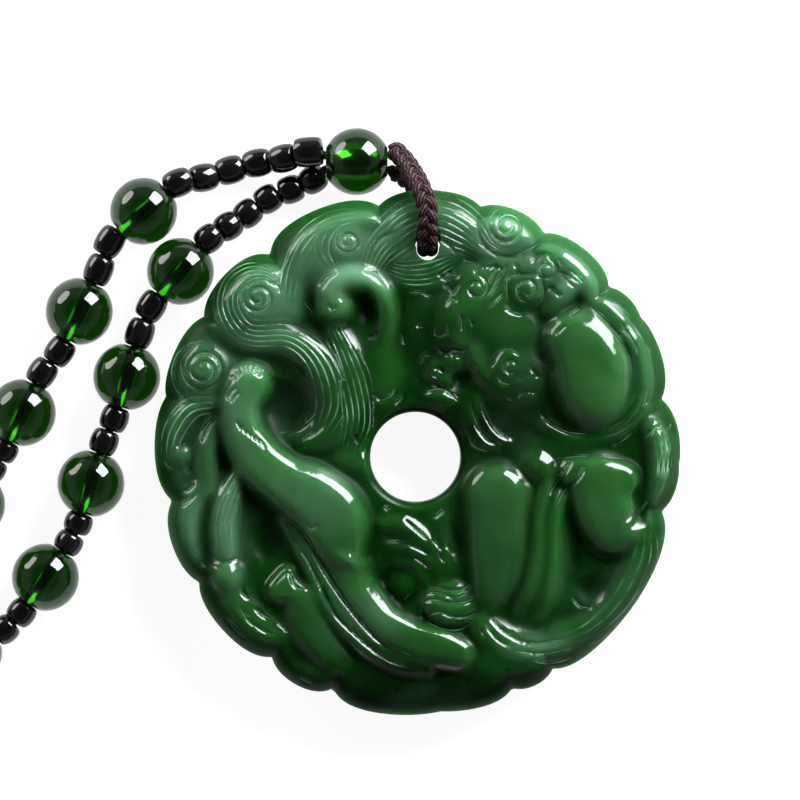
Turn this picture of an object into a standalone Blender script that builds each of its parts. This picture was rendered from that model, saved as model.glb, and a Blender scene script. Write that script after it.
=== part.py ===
"""Carved jade ring pendant, about 50 mm across, lying on its back, with its braided loop and bead necklace.

Lengths are in millimetres and become metres in at(). X is right and Y is up on the carved face, Z comes
out of it, and the origin is the bottom centre of the pendant's own box.
"""
import math

import bpy
import numpy as np
from mathutils import Vector

MM = 0.001

# Disc
LOBE_RADIUS = 25.0
NOTCHES = (  # angle in degrees, depth, half spread in degrees
    (99.0, 1.35, 4.0), (75.7, 0.95, 3.5), (60.2, 1.05, 3.5), (41.0, 1.1, 3.0), (31.3, 0.3, 2.0),
    (12.5, 1.4, 4.5), (-2.6, 0.15, 3.0), (-13.4, 1.3, 4.0), (-58.0, 0.9, 3.0), (-68.2, 0.95, 3.0),
    (-85.0, 0.45, 8.0), (-109.8, 1.3, 3.0), (-125.6, 1.25, 3.5), (-149.4, 0.95, 3.5),
    (-169.0, 1.3, 4.0), (167.5, 0.6, 3.0), (147.5, 1.0, 3.5), (126.7, 1.6, 3.5),
)
GROUND = 5.7        # height of the ground that the figures rise from
SEAM = 4.7          # height at which the front and the back meet at the outline
RIM_ROUND = 2.3     # width of the rounding along the outline, front
BACK_ROUND = 1.8    # the same, back
BACK_FLAT = 10.5    # radius of the flat that the pendant lies on
BACK_OUTER = 19.0   # radius from which the back is BACK_LIFT clear of the table
BACK_LIFT = 3.0
HOLE = (-0.25, -0.4)
HOLE_RADIUS = 4.27
HOLE_ROUND = 0.9
LEVEL = 6.4         # height of the ground once the steps of the carving are lowered
LOW_SHARE = 0.6     # share of a step that is kept up to SHOULDER
SHOULDER = 8.0
HIGH_SHARE = 0.8    # share kept above it
FRONT_SPACING = 1.05
BACK_SPACING = 2.4
MIDDLE = (-0.08, 0.08)  # middle of the outline's box in the drawing frame of the lengths below

# Braided loop
LOOP_RADIUS = 0.95
LOOP_SPACING = 1.3
CLEAR = 0.3
BORE = (0.9, 19.25)
BORE_RADIUS = 1.3
LOOP_TOP = 8.4      # height of the loop's middle on the front
LOOP_LOW = 1.25     # the same under the back

# Beads
BEAD_RADIUS = 3.2
BEAD_HALF = 2.92
BEAD_BORE = 0.85
STRAIGHT = 1.0      # straight length of string at each end of a green bead
TOP_BORE = 1.3
SEED_RADIUS = 1.37
SEED_BORE = 0.75
SEED_PITCH = 2.2
SEED_WAIST = 0.95   # radius of the coiled chain between two seed beads
CHAIN_SIDES = 8
MOUTH_GAP = 0.8     # from the top bead to the first seed bead of the lower strand
BARREL_RADIUS = 1.45
BARREL_HALF = 1.3
BARREL_BORE = 0.95
DRUM_EDGE = 0.45
STRING_RADIUS = 0.4
STRING_SPACING = 2.2
TOP_BEAD = (-5.8, 27.6, BEAD_RADIUS)
BARREL = (-10.35, 28.5, 3.4)

# Coil of the length that lies beside the pendant: a flat double spiral
COIL = (-88.3, -16.0)
COIL_PITCH = 6.8        # between neighbouring windings
ARM_A = (30.6, -18.0)   # radius and angle at which strand A's arm starts
ARM_B = (37.1, -26.05)

# The two strands, each from inside the top bead: first run, green beads with their headings, way to the
# coil, and the number of seed beads before each green bead and after the last
ROUTE_A = {
    "start": [(-6.9, 28.15, 3.2), (-8.9, 28.2, 3.3), BARREL, (-12.9, 27.9, 2.4), (-15.4, 27.5, 1.5),
              (-17.7, 26.9, 1.45), (-20.0, 26.2, 1.8)],
    "beads": [((-26.0, 22.9), (-0.76, -0.65)), ((-32.1, 13.4), (-0.43, -0.9)), ((-37.5, 3.8),
                                                                                (-0.44, -0.9)),
              ((-42.3, -4.9), (-0.5, -0.87))],
    "end": [(-46.9, -13.0, 3.1), (-50.0, -15.6, BEAD_RADIUS), (-53.8, -17.8, BEAD_RADIUS),
            (-57.0, -21.2, BEAD_RADIUS)],
    "runs": (5, 2, 2, 2, 2),
}
ROUTE_B = {
    "start": [(-6.9, 27.05, 3.2), (-8.7, 26.9, 2.9), (-9.9, 26.0, 1.75), (-11.6, 25.2, 1.45),
              (-13.7, 24.4, 1.45),
              (-15.3, 23.4, 1.45), (-17.0, 22.1, 1.8)],
    "beads": [((-22.5, 17.2), (-0.65, -0.76)), ((-27.6, 7.2), (-0.28, -0.96)), ((-31.0, -2.9),
                                                                                (-0.3, -0.95)),
              ((-35.3, -11.8), (-0.56, -0.83)), ((-42.6, -18.9), (-0.85, -0.53))],
    "end": [(-48.4, -22.2, 3.1), (-51.2, -24.9, BEAD_RADIUS), (-53.4, -28.6, BEAD_RADIUS)],
    "runs": (6, 2, 2, 2, 2, 1),
}


def at(x, y, z):
    return Vector(((x - MIDDLE[0]) * MM, (y - MIDDLE[1]) * MM, z * MM))


def clear_scene():
    for thing in list(bpy.data.objects):
        bpy.data.objects.remove(thing, do_unlink=True)


def material(name, colour, roughness, transmission=0.0):
    made = bpy.data.materials.new(name)
    made.use_nodes = True
    shader = made.node_tree.nodes["Principled BSDF"]
    shader.inputs["Base Color"].default_value = (*colour, 1.0)
    shader.inputs["Roughness"].default_value = roughness
    shader.inputs["Metallic"].default_value = 0.0
    shader.inputs["Transmission Weight"].default_value = transmission
    made.diffuse_color = (*colour, 1.0)
    return made


def add(name, data, finish):
    thing = bpy.data.objects.new(name, data)
    bpy.context.scene.collection.objects.link(thing)
    if not data.materials:
        data.materials.append(finish)
    return thing


def curve(points, per=6):
    """Smooth line through the points; every column is carried along."""
    p = np.array(points, float)
    p = np.vstack([2 * p[0] - p[1], p, 2 * p[-1] - p[-2]])
    line = []
    for a, b, c, d in zip(p, p[1:], p[2:], p[3:]):
        for s in np.arange(per) / per:
            line.append(b + 0.5 * s * (c - a + s * (2 * a - 5 * b + 4 * c - d + s * (3 * b - a - 3 * c + d))))
    line.append(p[-2])
    return np.array(line)


def soft_max(a, b, blend):
    return np.maximum(a, b) + 0.25 * blend * np.maximum(0.0, 1.0 - np.abs(a - b) / blend) ** 2


def outline(angle):
    """Radius of the lobed rim at an angle in radians."""
    radius = np.full(np.shape(angle), LOBE_RADIUS)
    for place, depth, spread in NOTCHES:
        off = np.abs((np.degrees(angle) - place + 180.0) % 360.0 - 180.0)
        radius = radius - depth * np.exp(-off / spread)
    return radius


class Relief:
    """Heights of the carved face over the points x, y."""

    def __init__(self, x, y):
        self.x, self.y = x, y
        self.z = np.full(x.shape, GROUND)

    def across(self, cx, cy, rx, ry, turn):
        """Distance from an ellipse's centre as a share of its radius."""
        c, s = math.cos(math.radians(turn)), math.sin(math.radians(turn))
        dx, dy = self.x - cx, self.y - cy
        return np.hypot((c * dx + s * dy) / rx, (c * dy - s * dx) / ry)

    def boss(self, cx, cy, rx, ry, turn, crest, full=2.2, drop=3.2, blend=0.9):
        rise = crest - drop * self.across(cx, cy, rx, ry, turn) ** full
        self.z = soft_max(self.z, rise, blend)

    def hollow(self, cx, cy, rx, ry, turn, floor, full=2.5, drop=3.0, blend=0.9):
        sink = floor + drop * self.across(cx, cy, rx, ry, turn) ** full
        self.z = -soft_max(-self.z, -sink, blend)

    def near(self, line, reach):
        """Numbers of the points that lie within reach of a line's box."""
        low, high = line[:, :2].min(0) - reach, line[:, :2].max(0) + reach
        inside = (self.x > low[0]) & (self.x < high[0]) & (self.y > low[1]) & (self.y < high[1])
        return np.nonzero(inside)[0]

    def limb(self, points, full=2.3, drop=3.2, blend=0.9):
        """Rounded limb through points of x, y, half width and crest height."""
        line = curve(points)
        keep = self.near(line, 1.6 * line[:, 2].max())
        x, y = self.x[keep], self.y[keep]
        top = np.full(x.shape, -9.0)
        for a, b in zip(line, line[1:]):
            step = b[:2] - a[:2]
            t = np.clip(((x - a[0]) * step[0] + (y - a[1]) * step[1]) / (step @ step), 0, 1)
            away = np.hypot(x - a[0] - t * step[0], y - a[1] - t * step[1])
            rise = a[3] + t * (b[3] - a[3]) - drop * (away / (a[2] + t * (b[2] - a[2]))) ** full
            top = np.maximum(top, rise)
        self.z[keep] = soft_max(self.z[keep], top, blend)


def broad_masses(s):
    """Low swellings that the carved figures grow from."""
    for cx, cy, rx, ry, turn, crest, full, drop in (
            (-7.6, 19.0, 5.6, 5.2, 20, 7.3, 3.5, 2.2), (0.4, 20.6, 5.6, 4.6, 0, 7.1, 3.5, 2.0),
            (0.2, 16.6, 3.6, 2.6, 0, 6.9, 3.0, 1.8), (8.4, 21.0, 4.2, 3.4, -10, 7.4, 3.0, 2.2),
            (14.6, 17.4, 4.0, 2.4, -48, 7.5, 3.0, 2.4), (9.6, 16.8, 5.4, 2.6, -8, 7.4, 3.0, 2.0),
            (-15.4, 14.4, 5.4, 4.8, 0, 7.4, 3.2, 2.4), (-20.4, 7.7, 4.2, 3.9, 0, 7.1, 3.2, 2.4),
            (-3.4, 7.2, 2.6, 4.6, 0, 6.6, 3.0, 1.6), (-7.2, 6.6, 3.2, 6.0, 0, 6.9, 3.2, 1.8),
            (-5.9, -1.0, 3.2, 1.6, -10, 6.4, 3.0, 1.6), (13.6, 0.2, 6.5, 1.5, 0, 6.4, 3.0, 1.2),
            (-10.6, -15.2, 3.6, 2.6, -50, 6.9, 3.0, 2.0), (7.8, -19.8, 5.0, 1.9, 0, 6.5, 3.0, 1.6),
            (11.6, -9.2, 3.0, 6.6, 0, 6.7, 3.2, 1.8)):
        s.boss(cx, cy, rx, ry, turn, crest, full, drop)


def rim_lobes(s):
    s.limb([(-19.4, 4.8, 1.4, 6.8), (-21.8, 4.1, 1.7, 7.2), (-23.5, 2.0, 1.7, 6.9),
            (-24.0, -1.0, 1.4, 6.5)], 3)
    s.limb([(-20.6, -3.4, 1.4, 6.9), (-22.0, -6.2, 1.9, 7.2), (-22.0, -8.8, 1.8, 7.1),
            (-20.9, -11.4, 1.5, 6.7)], 3)
    s.boss(-22.3, -0.3, 1.8, 1.8, 0, 6.7)
    s.limb([(-19.2, 3.0, 1.0, 6.6), (-19.8, 1.0, 1.4, 7.2), (-19.9, -1.2, 1.5, 7.4),
            (-19.7, -3.8, 1.3, 6.9)], 2.8)
    s.limb([(-19.4, -14.0, 1.4, 6.2), (-17.8, -16.4, 1.5, 6.5), (-15.4, -18.0, 1.4, 6.4),
            (-13.0, -19.0, 1.2, 6.2)], 3)
    s.limb([(-13.4, -19.8, 1.5, 6.2), (-11.2, -21.0, 1.6, 6.5), (-8.8, -21.4, 1.4, 6.3)], 3)
    s.limb([(22.4, -5.6, 1.4, 6.6), (22.0, -10.5, 1.9, 6.9), (19.9, -15.0, 1.9, 6.9),
            (16.6, -18.2, 1.7, 6.6)], 3)


def hair(s):
    s.limb([(-12.0, 13.4, 1.5, 6.8), (-11.6, 16.8, 1.9, 7.3), (-10.0, 19.8, 2.2, 7.6),
            (-7.2, 22.0, 2.2, 7.5), (-4.2, 22.4, 1.7, 7.3)], 2.8)
    s.boss(-6.7, 19.7, 3.0, 2.7, 0, 8.0)
    s.limb([(-5.0, 17.0, 1.8, 6.9), (-3.6, 19.6, 2.3, 7.2), (-0.6, 21.9, 2.7, 7.2), (2.2, 22.0, 2.8, 7.2),
            (4.4, 20.9, 2.5, 7.3), (6.0, 19.4, 1.8, 7.1), (7.8, 18.6, 1.2, 6.9)], 3)
    s.boss(8.3, 21.4, 3.0, 2.4, 0, 8.0)
    s.limb([(12.2, 19.3, 1.6, 7.4), (14.6, 18.0, 1.9, 7.8), (16.4, 15.9, 1.7, 7.6)], 2.6)
    s.boss(-15.2, 14.7, 4.4, 4.1, 0, 8.2, full=2.6, drop=2.4)
    s.boss(-20.2, 7.7, 3.3, 3.1, 0, 7.8)
    s.limb([(-19.0, 12.6, 1.7, 7.0), (-16.4, 10.8, 2.0, 7.2), (-13.2, 10.7, 2.0, 7.4),
            (-10.4, 9.4, 2.2, 7.5), (-8.4, 6.8, 2.4, 7.4), (-7.6, 4.2, 2.5, 7.3), (-8.6, 1.9, 2.2, 7.0),
            (-10.6, 0.8, 1.6, 6.6)], 3)
    s.limb([(-7.8, 11.6, 1.6, 6.9), (-6.6, 8.8, 1.8, 7.1), (-6.0, 5.2, 1.9, 7.0)], 3)


def hollows(s):
    for cx, cy, rx, ry, turn, floor in (
            (-12.7, 4.4, 3.1, 3.4, 0, 3.9), (-14.3, -8.3, 2.5, 3.4, 0, 3.9),
            (-17.9, -0.3, 1.2, 2.2, 0, 4.2), (-0.2, 10.8, 1.5, 3.4, 5, 4.4),
            (3.6, 7.4, 2.6, 1.8, -25, 4.8), (-1.9, -12.6, 2.8, 2.9, 0, 4.0),
            (15.3, -9.5, 1.2, 4.2, 0, 4.0), (16.6, -12.6, 2.3, 2.2, 0, 4.0),
            (9.8, 2.2, 3.6, 1.3, -20, 4.6), (3.2, -8.0, 1.4, 3.2, 12, 4.4),
            (-12.4, -15.2, 0.8, 1.2, 0, 4.6), (-19.4, -13.4, 0.9, 1.4, 30, 4.8)):
        s.hollow(cx, cy, rx, ry, turn, floor)


def horn_curl(s):
    s.boss(0.6, 12.0, 2.6, 5.0, 0, 6.9, full=3.0, drop=1.6)
    s.limb([(-1.8, 6.6, 1.6, 6.7), (-1.6, 9.4, 1.9, 7.0), (-1.7, 12.2, 1.9, 7.6), (-2.4, 14.4, 1.8, 8.3),
            (-3.9, 15.9, 1.8, 8.8), (-5.8, 16.4, 1.8, 8.9), (-7.5, 15.7, 1.8, 8.8),
            (-8.3, 14.2, 1.8, 8.7)], full=4.0, drop=3.0)
    s.boss(-7.8, 13.7, 2.2, 2.1, 0, 8.8, full=4.0)
    s.hollow(-4.9, 12.4, 1.0, 2.6, 8, 4.2)


def body_and_tail(s):
    s.limb([(-15.9, 6.5, 2.3, 8.6), (-16.7, 4.4, 2.1, 8.7), (-16.2, 1.7, 2.1, 8.8),
            (-14.5, -0.8, 2.3, 8.9), (-12.0, -2.9, 2.7, 9.0), (-9.3, -4.9, 3.3, 9.0),
            (-7.5, -7.4, 3.2, 8.8), (-6.7, -10.4, 2.4, 8.4), (-5.6, -13.1, 2.0, 8.2),
            (-3.7, -15.5, 2.1, 8.2), (-1.0, -17.3, 2.1, 8.0), (2.0, -18.5, 2.0, 7.7),
            (4.0, -19.2, 1.4, 7.2)], full=3.6, drop=3.2)
    s.limb([(-12.7, -6.4, 0.7, 7.2), (-10.9, -8.8, 1.1, 7.6), (-9.3, -11.6, 1.2, 7.8),
            (-8.1, -14.0, 1.2, 7.8), (-6.2, -16.5, 1.2, 7.6), (-4.0, -18.4, 1.2, 7.4),
            (-1.4, -19.8, 1.0, 7.1), (1.0, -20.4, 0.8, 6.7)], drop=1.6)
    s.limb([(-11.0, -13.6, 1.6, 7.6), (-10.6, -15.8, 2.3, 7.6), (-9.0, -18.2, 2.3, 7.3),
            (-6.4, -20.4, 1.8, 6.8)], 4)


def left_leg(s):
    s.limb([(-17.0, -1.6, 0.7, 7.2), (-17.5, -4.0, 1.5, 7.7), (-17.9, -6.6, 1.8, 7.9),
            (-18.0, -9.4, 1.7, 7.9), (-18.1, -11.6, 1.7, 7.9)], 4)
    s.limb([(-18.1, -11.6, 1.7, 7.7), (-17.3, -13.4, 1.8, 7.6), (-16.4, -15.1, 1.9, 7.6),
            (-14.9, -16.4, 1.8, 7.5), (-12.9, -17.1, 1.4, 7.1)], 4)
    s.boss(-18.7, -14.6, 0.9, 0.9, 0, 7.3, drop=1.5)
    s.limb([(-12.3, -11.3, 0.9, 7.8), (-13.0, -12.9, 1.9, 7.8)], 4)
    s.limb([(-12.0, -12.2, 1.0, 7.7), (-11.2, -13.4, 1.6, 7.8), (-9.9, -13.4, 1.0, 7.4)], 4)
    s.hollow(-12.8, -15.0, 0.7, 0.9, 20, 4.4)


def centre_folds(s):
    s.limb([(-3.4, -6.7, 0.9, 7.0), (-1.6, -6.8, 1.1, 7.4), (0.2, -7.9, 1.1, 7.2),
            (1.7, -9.4, 0.9, 6.7)], drop=1.8)
    s.limb([(-3.0, -8.6, 0.6, 6.6), (-0.9, -8.9, 0.8, 6.9), (0.9, -10.0, 0.8, 6.7),
            (1.9, -11.4, 0.6, 6.4)], drop=1.5)
    s.limb([(-2.2, -10.1, 0.5, 6.2), (-0.5, -10.7, 0.6, 6.4), (0.6, -12.0, 0.6, 6.2)], drop=1.4)
    s.boss(-1.4, -12.3, 1.8, 1.7, 0, 6.2, drop=1.6)
    s.limb([(2.2, -6.2, 1.0, 6.5), (2.5, -8.6, 1.0, 6.5), (2.9, -10.8, 1.2, 6.7)], drop=1.6)
    s.limb([(2.4, -10.6, 1.3, 6.7), (2.9, -12.4, 2.2, 7.3), (3.1, -14.2, 2.9, 8.0)], full=2.8, drop=3.0)


def right_legs(s):
    s.limb([(7.5, -3.7, 3.1, 8.5), (7.4, -6.8, 2.9, 8.4), (7.1, -9.8, 2.5, 8.1), (6.7, -12.5, 2.1, 7.7),
            (6.3, -14.8, 1.6, 7.2)], full=4, drop=2.6, blend=1.4)
    for shift, crest in ((0.0, 7.5), (1.4, 7.6), (2.8, 7.7)):
        s.limb([(11.4 + 1.1 * shift, -2.8, 0.9, crest), (10.7 + shift, -7.4, 1.0, crest),
                (10.3 + shift, -11.4, 1.0, crest - 0.2),
                (8.9 + 0.9 * shift, -15.6, 0.9, crest - 0.6)], drop=1.0)
    s.boss(11.5, -1.0, 2.2, 1.5, -30, 7.6, full=3)
    s.limb([(14.6, -1.9, 1.6, 7.6), (17.0, -2.2, 2.2, 8.2), (19.4, -2.4, 1.9, 8.0)], full=5, drop=2.6)
    s.limb([(17.0, -3.0, 3.0, 8.2), (17.6, -5.4, 3.0, 8.4), (18.2, -7.6, 2.3, 8.2)], full=4, drop=2.6)


def lower_curl(s):
    s.limb([(20.0, -8.8, 1.0, 7.0), (20.0, -11.6, 1.5, 7.4), (18.9, -14.4, 1.7, 7.5),
            (16.4, -16.4, 1.6, 7.4), (13.2, -17.0, 1.2, 7.0)], 3)
    s.limb([(5.6, -15.9, 1.1, 7.3), (7.2, -17.4, 1.6, 7.6), (9.8, -18.5, 1.8, 7.6),
            (12.4, -18.6, 1.7, 7.5), (15.2, -17.9, 1.2, 7.1)], 3)


def egg_and_fin(s):
    s.limb([(22.2, 2.3, 1.5, 7.5), (23.0, 0.4, 1.8, 7.9), (22.9, -2.0, 1.7, 7.6),
            (22.0, -4.6, 1.2, 6.9)], 2.8)
    s.limb([(15.9, 14.9, 1.0, 7.2), (18.6, 13.1, 1.8, 7.6), (20.9, 10.4, 1.8, 7.6), (21.4, 7.2, 1.8, 7.4),
            (20.7, 4.2, 1.6, 7.1), (18.6, 1.9, 1.2, 6.8), (15.0, 1.3, 1.0, 6.6),
            (12.0, 2.6, 0.9, 6.6)], 3, 2.4)
    s.boss(16.2, 7.9, 4.1, 6.2, 9, 9.3, full=2.8, drop=3.0, blend=1.2)
    s.limb([(5.4, 5.0, 0.7, 6.5), (6.1, 3.0, 0.8, 6.7), (7.2, 1.6, 0.7, 6.7),
            (8.6, 0.8, 0.6, 6.4)], drop=1.2)
    s.limb([(4.5, 4.2, 0.7, 6.4), (5.0, 2.2, 0.8, 6.6), (6.2, 0.8, 0.7, 6.6),
            (7.4, 0.2, 0.6, 6.3)], drop=1.2)


def head(s):
    s.boss(6.0, 15.8, 3.4, 2.6, -15, 7.5, full=3.0, drop=2.4)
    s.limb([(6.6, 14.4, 2.2, 7.8), (4.4, 13.6, 2.0, 7.8), (3.2, 12.6, 1.7, 7.7),
            (2.4, 11.4, 1.4, 7.5)], 4, 2.4)
    s.boss(8.2, 11.7, 4.6, 3.1, -8, 8.2, full=4.0, drop=2.6, blend=1.6)
    s.boss(3.9, 10.6, 1.6, 1.4, 0, 7.4, drop=1.6)
    s.boss(9.2, 7.5, 3.9, 3.2, -15, 7.7, full=3.6, drop=2.4, blend=1.4)
    s.boss(8.8, 8.2, 2.2, 2.0, 0, 7.9, drop=1.4)
    s.limb([(5.4, 9.6, 1.3, 7.5), (5.7, 8.2, 1.2, 7.4), (6.6, 7.0, 1.2, 7.2)], drop=2.0)
    s.boss(3.4, 8.6, 1.4, 1.0, -10, 7.0, drop=1.2)
    s.limb([(1.3, 8.3, 0.5, 6.9), (3.0, 7.7, 0.5, 6.8)], drop=1.0)
    s.limb([(1.0, 7.4, 0.5, 6.9), (2.8, 6.8, 0.5, 6.8)], drop=1.0)
    s.boss(2.1, 5.2, 2.0, 1.2, -10, 6.8, drop=1.4)
    s.boss(10.2, 15.3, 2.2, 2.0, 0, 7.8, full=3.4, drop=2.4)
    s.boss(12.0, 17.3, 1.8, 1.7, 0, 7.7, full=3, drop=2.4)
    s.boss(5.5, 15.6, 0.9, 0.9, 0, 7.9, drop=1.2)
    s.limb([(14.6, 16.0, 1.2, 7.6), (13.4, 14.8, 1.5, 7.7), (12.4, 13.4, 1.2, 7.5)], 3, 2.4)


def lowered(z):
    """Heights of the carved forms with their steps made lower."""
    return np.where(z < SHOULDER, LEVEL + (z - GROUND) * LOW_SHARE,
                    LEVEL + (SHOULDER - GROUND) * LOW_SHARE + (z - SHOULDER) * HIGH_SHARE)


def front_height(x, y):
    s = Relief(x, y)
    for carve in (broad_masses, rim_lobes, hair, hollows, horn_curl, body_and_tail, left_leg, centre_folds,
                  right_legs, lower_curl, egg_and_fin, head):
        carve(s)
    s.z = lowered(s.z)
    inside = np.clip((outline(np.arctan2(y, x)) - np.hypot(x, y)) / RIM_ROUND, 0, 1)
    z = SEAM + (s.z - SEAM) * np.sqrt(1 - (1 - inside) ** 2)
    off_hole = np.clip((np.hypot(x - HOLE[0], y - HOLE[1]) - HOLE_RADIUS) / HOLE_ROUND, 0, 1)
    return z - HOLE_ROUND * (1 - np.sqrt(1 - (1 - off_hole) ** 2))


def back_height(x, y):
    t = np.clip((np.hypot(x, y) - BACK_FLAT) / (BACK_OUTER - BACK_FLAT), 0, 1)
    z = BACK_LIFT * t * t * (3 - 2 * t)
    inside = np.clip((outline(np.arctan2(y, x)) - np.hypot(x, y)) / BACK_ROUND, 0, 1)
    return SEAM + (z - SEAM) * np.sqrt(1 - (1 - inside) ** 2)


def row_depths(span, spacing, rim, hole):
    """Distances in from the outline of the rows of one face, closer together where its edges are rounded."""
    quarter = np.radians([0, 30, 60, 90])
    outer = rim * (1 - np.cos(quarter))
    inner = span - hole * (1 - np.cos(quarter[::-1]))
    count = max(2, round((inner[0] - outer[-1]) / spacing))
    between = np.linspace(outer[-1], inner[0], count + 1)[1:-1]
    return np.concatenate([outer, between, inner])


def row_points(depth, span, count):
    """Points of one row, between the outline and the centre hole."""
    angle = 2 * math.pi * np.arange(count) / count
    share = 1 - depth / span
    out = outline(angle)
    x = HOLE[0] + HOLE_RADIUS * np.cos(angle)
    y = HOLE[1] + HOLE_RADIUS * np.sin(angle)
    return x + (out * np.cos(angle) - x) * share, y + (out * np.sin(angle) - y) * share


def zip_rows(outer, inner):
    """Triangles between two rings of vertex numbers that start at the same angle."""
    faces = []
    i = j = 0
    while i < len(outer) or j < len(inner):
        a, b = outer[i % len(outer)], inner[j % len(inner)]
        if (i + 1) * len(inner) <= (j + 1) * len(outer):
            i += 1
            faces.append((a, outer[i % len(outer)], b))
        else:
            j += 1
            faces.append((a, inner[j % len(inner)], b))
    return faces


def face_rows(height, spacing, rim, hole, first, last, base):
    """Vertices and triangles of one face of the disc; first and last set the counts of its edge rows."""
    span = LOBE_RADIUS - HOLE_RADIUS
    xs, ys, rings = [], [], []
    depths = row_depths(span, spacing, rim, hole)
    for k, depth in enumerate(depths):
        radius = LOBE_RADIUS - depth
        count = first if k == 0 else last if k == len(depths) - 1 else round(2 * math.pi * radius / spacing)
        x, y = row_points(depth, span, count)
        rings.append(base + np.arange(count) + sum(len(r) for r in rings))
        xs.append(x)
        ys.append(y)
    x, y = np.concatenate(xs), np.concatenate(ys)
    faces = []
    for outer, inner in zip(rings, rings[1:]):
        faces += zip_rows(outer, inner)
    return x, y, height(x, y), faces, rings


def pendant(finish):
    first = round(2 * math.pi * LOBE_RADIUS / FRONT_SPACING)
    last = 32
    x, y, z, faces, front = face_rows(front_height, FRONT_SPACING, RIM_ROUND, HOLE_ROUND, first, last, 0)
    bx, by, bz, under, back = face_rows(back_height, BACK_SPACING, BACK_ROUND, 0.4, first, last, len(x))
    shared = dict(zip(back[0], front[0]))
    faces += [tuple(shared.get(v, v) for v in reversed(face)) for face in under]
    top, bottom = front[-1], back[-1]
    for k in range(last):
        n = (k + 1) % last
        faces.append((top[k], top[n], bottom[n], bottom[k]))
    verts = [at(*p) for p in zip(np.concatenate([x, bx]), np.concatenate([y, by]), np.concatenate([z, bz]))]
    used = sorted({v for face in faces for v in face})
    number = {v: k for k, v in enumerate(used)}
    mesh = bpy.data.meshes.new("pendant")
    mesh.from_pydata([verts[v] for v in used], [], [tuple(number[v] for v in face) for face in faces])
    mesh.shade_smooth()
    made = add("pendant", mesh, finish)
    mesh.set_sharp_from_angle(angle=math.radians(60))
    return made


def ring_mesh(name, profile, sides):
    """Solid turned around Z from a closed profile of radius and height, given anticlockwise."""
    verts, faces = [], []
    count = len(profile)
    for k in range(sides):
        angle = 2 * math.pi * k / sides
        for radius, height in profile:
            verts.append((radius * math.cos(angle) * MM, radius * math.sin(angle) * MM, height * MM))
    for k in range(sides):
        n = (k + 1) % sides
        for p in range(count):
            q = (p + 1) % count
            faces.append((k * count + p, n * count + p, n * count + q, k * count + q))
    mesh = bpy.data.meshes.new(name)
    mesh.from_pydata(verts, [], faces)
    mesh.shade_smooth()
    mesh.set_sharp_from_angle(angle=math.radians(50))
    return mesh


def tube_mesh(name, line, radius, sides):
    """Closed tube along a line that stays in a plane of constant X, used only to cut."""
    verts, faces = [], []
    up = Vector((1, 0, 0))
    count = len(line)
    for k, place in enumerate(line):
        ahead = (line[min(k + 1, count - 1)] - line[max(k - 1, 0)]).normalized()
        side = up.cross(ahead).normalized()
        for s in range(sides):
            angle = 2 * math.pi * s / sides
            verts.append(place + (up * math.cos(angle) + side * math.sin(angle)) * radius * MM)
    for k in range(count - 1):
        for s in range(sides):
            n = (s + 1) % sides
            faces.append((k * sides + s, (k + 1) * sides + s, (k + 1) * sides + n, k * sides + n))
    faces.append(tuple(range(sides)))
    faces.append(tuple(reversed(range((count - 1) * sides, count * sides))))
    mesh = bpy.data.meshes.new(name)
    mesh.from_pydata(verts, [], faces)
    return mesh


def turn_in_bore():
    """The loop's half circle through the bore, seen from the side, front end first."""
    radius = (LOOP_TOP - LOOP_LOW) / 2
    middle = BORE[1] + radius
    height = LOOP_LOW + radius
    places = []
    for k in range(11):
        angle = math.radians(90 + 18 * k)
        places.append((BORE[0], middle + radius * math.cos(angle), height + radius * math.sin(angle)))
    return places


def loop_route():
    """Braided loop: out of the top bead, over the rim, through the bore and back under the rim."""
    face = TOP_BEAD[0] + BEAD_HALF + CLEAR
    front = [(face, 28.7, 3.3), (-1.9, 28.4, 3.6), (-1.1, 27.4, 4.7), (-0.4, 26.3, 6.1), (0.1, 25.3, 7.4),
             (0.6, 24.1, 8.2)]
    back = [(0.7, 24.0, 1.25), (-0.2, 25.2, 1.35), (-1.2, 26.1, 2.1), (-1.9, 26.5, 2.8), (face, 26.5, 3.1)]
    return front + turn_in_bore() + back


def cut(target, name, line, radius, sides):
    """Cut a tube along a line out of the target."""
    cutter = bpy.data.objects.new(name, tube_mesh(name, [at(*p) for p in line], radius, sides))
    bpy.context.scene.collection.objects.link(cutter)
    cutter.hide_render = True
    cutter.display_type = "WIRE"
    difference = target.modifiers.new(name, "BOOLEAN")
    difference.operation = "DIFFERENCE"
    difference.solver = "EXACT"
    difference.object = cutter


def cut_bore(target):
    """The bore, and the channels that the loop lies in at its two mouths."""
    cut(target, "bore_cutter", [(*BORE, -1.0), (*BORE, 12.0)], BORE_RADIUS, 20)
    turn = turn_in_bore()
    beyond = turn[0][1] + 3.0
    turn = [(BORE[0], beyond, LOOP_TOP)] + turn + [(BORE[0], beyond, LOOP_LOW)]
    cut(target, "turn_cutter", turn, LOOP_RADIUS + CLEAR, 14)


class Strand:
    """Smooth line through route points, walked by its length."""

    def __init__(self, points):
        self.line = curve(points, 12)
        steps = np.linalg.norm(np.diff(self.line, axis=0), axis=1)
        self.walked = np.concatenate([[0.0], np.cumsum(steps)])

    def place(self, distance):
        return np.array([np.interp(distance, self.walked, self.line[:, k]) for k in range(3)])

    def heading(self, distance):
        ahead = self.place(distance + 0.3) - self.place(distance - 0.3)
        return Vector(ahead / np.linalg.norm(ahead))

    def nearest(self, point):
        return self.walked[np.argmin(np.linalg.norm(self.line - np.array(point), axis=1))]


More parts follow.
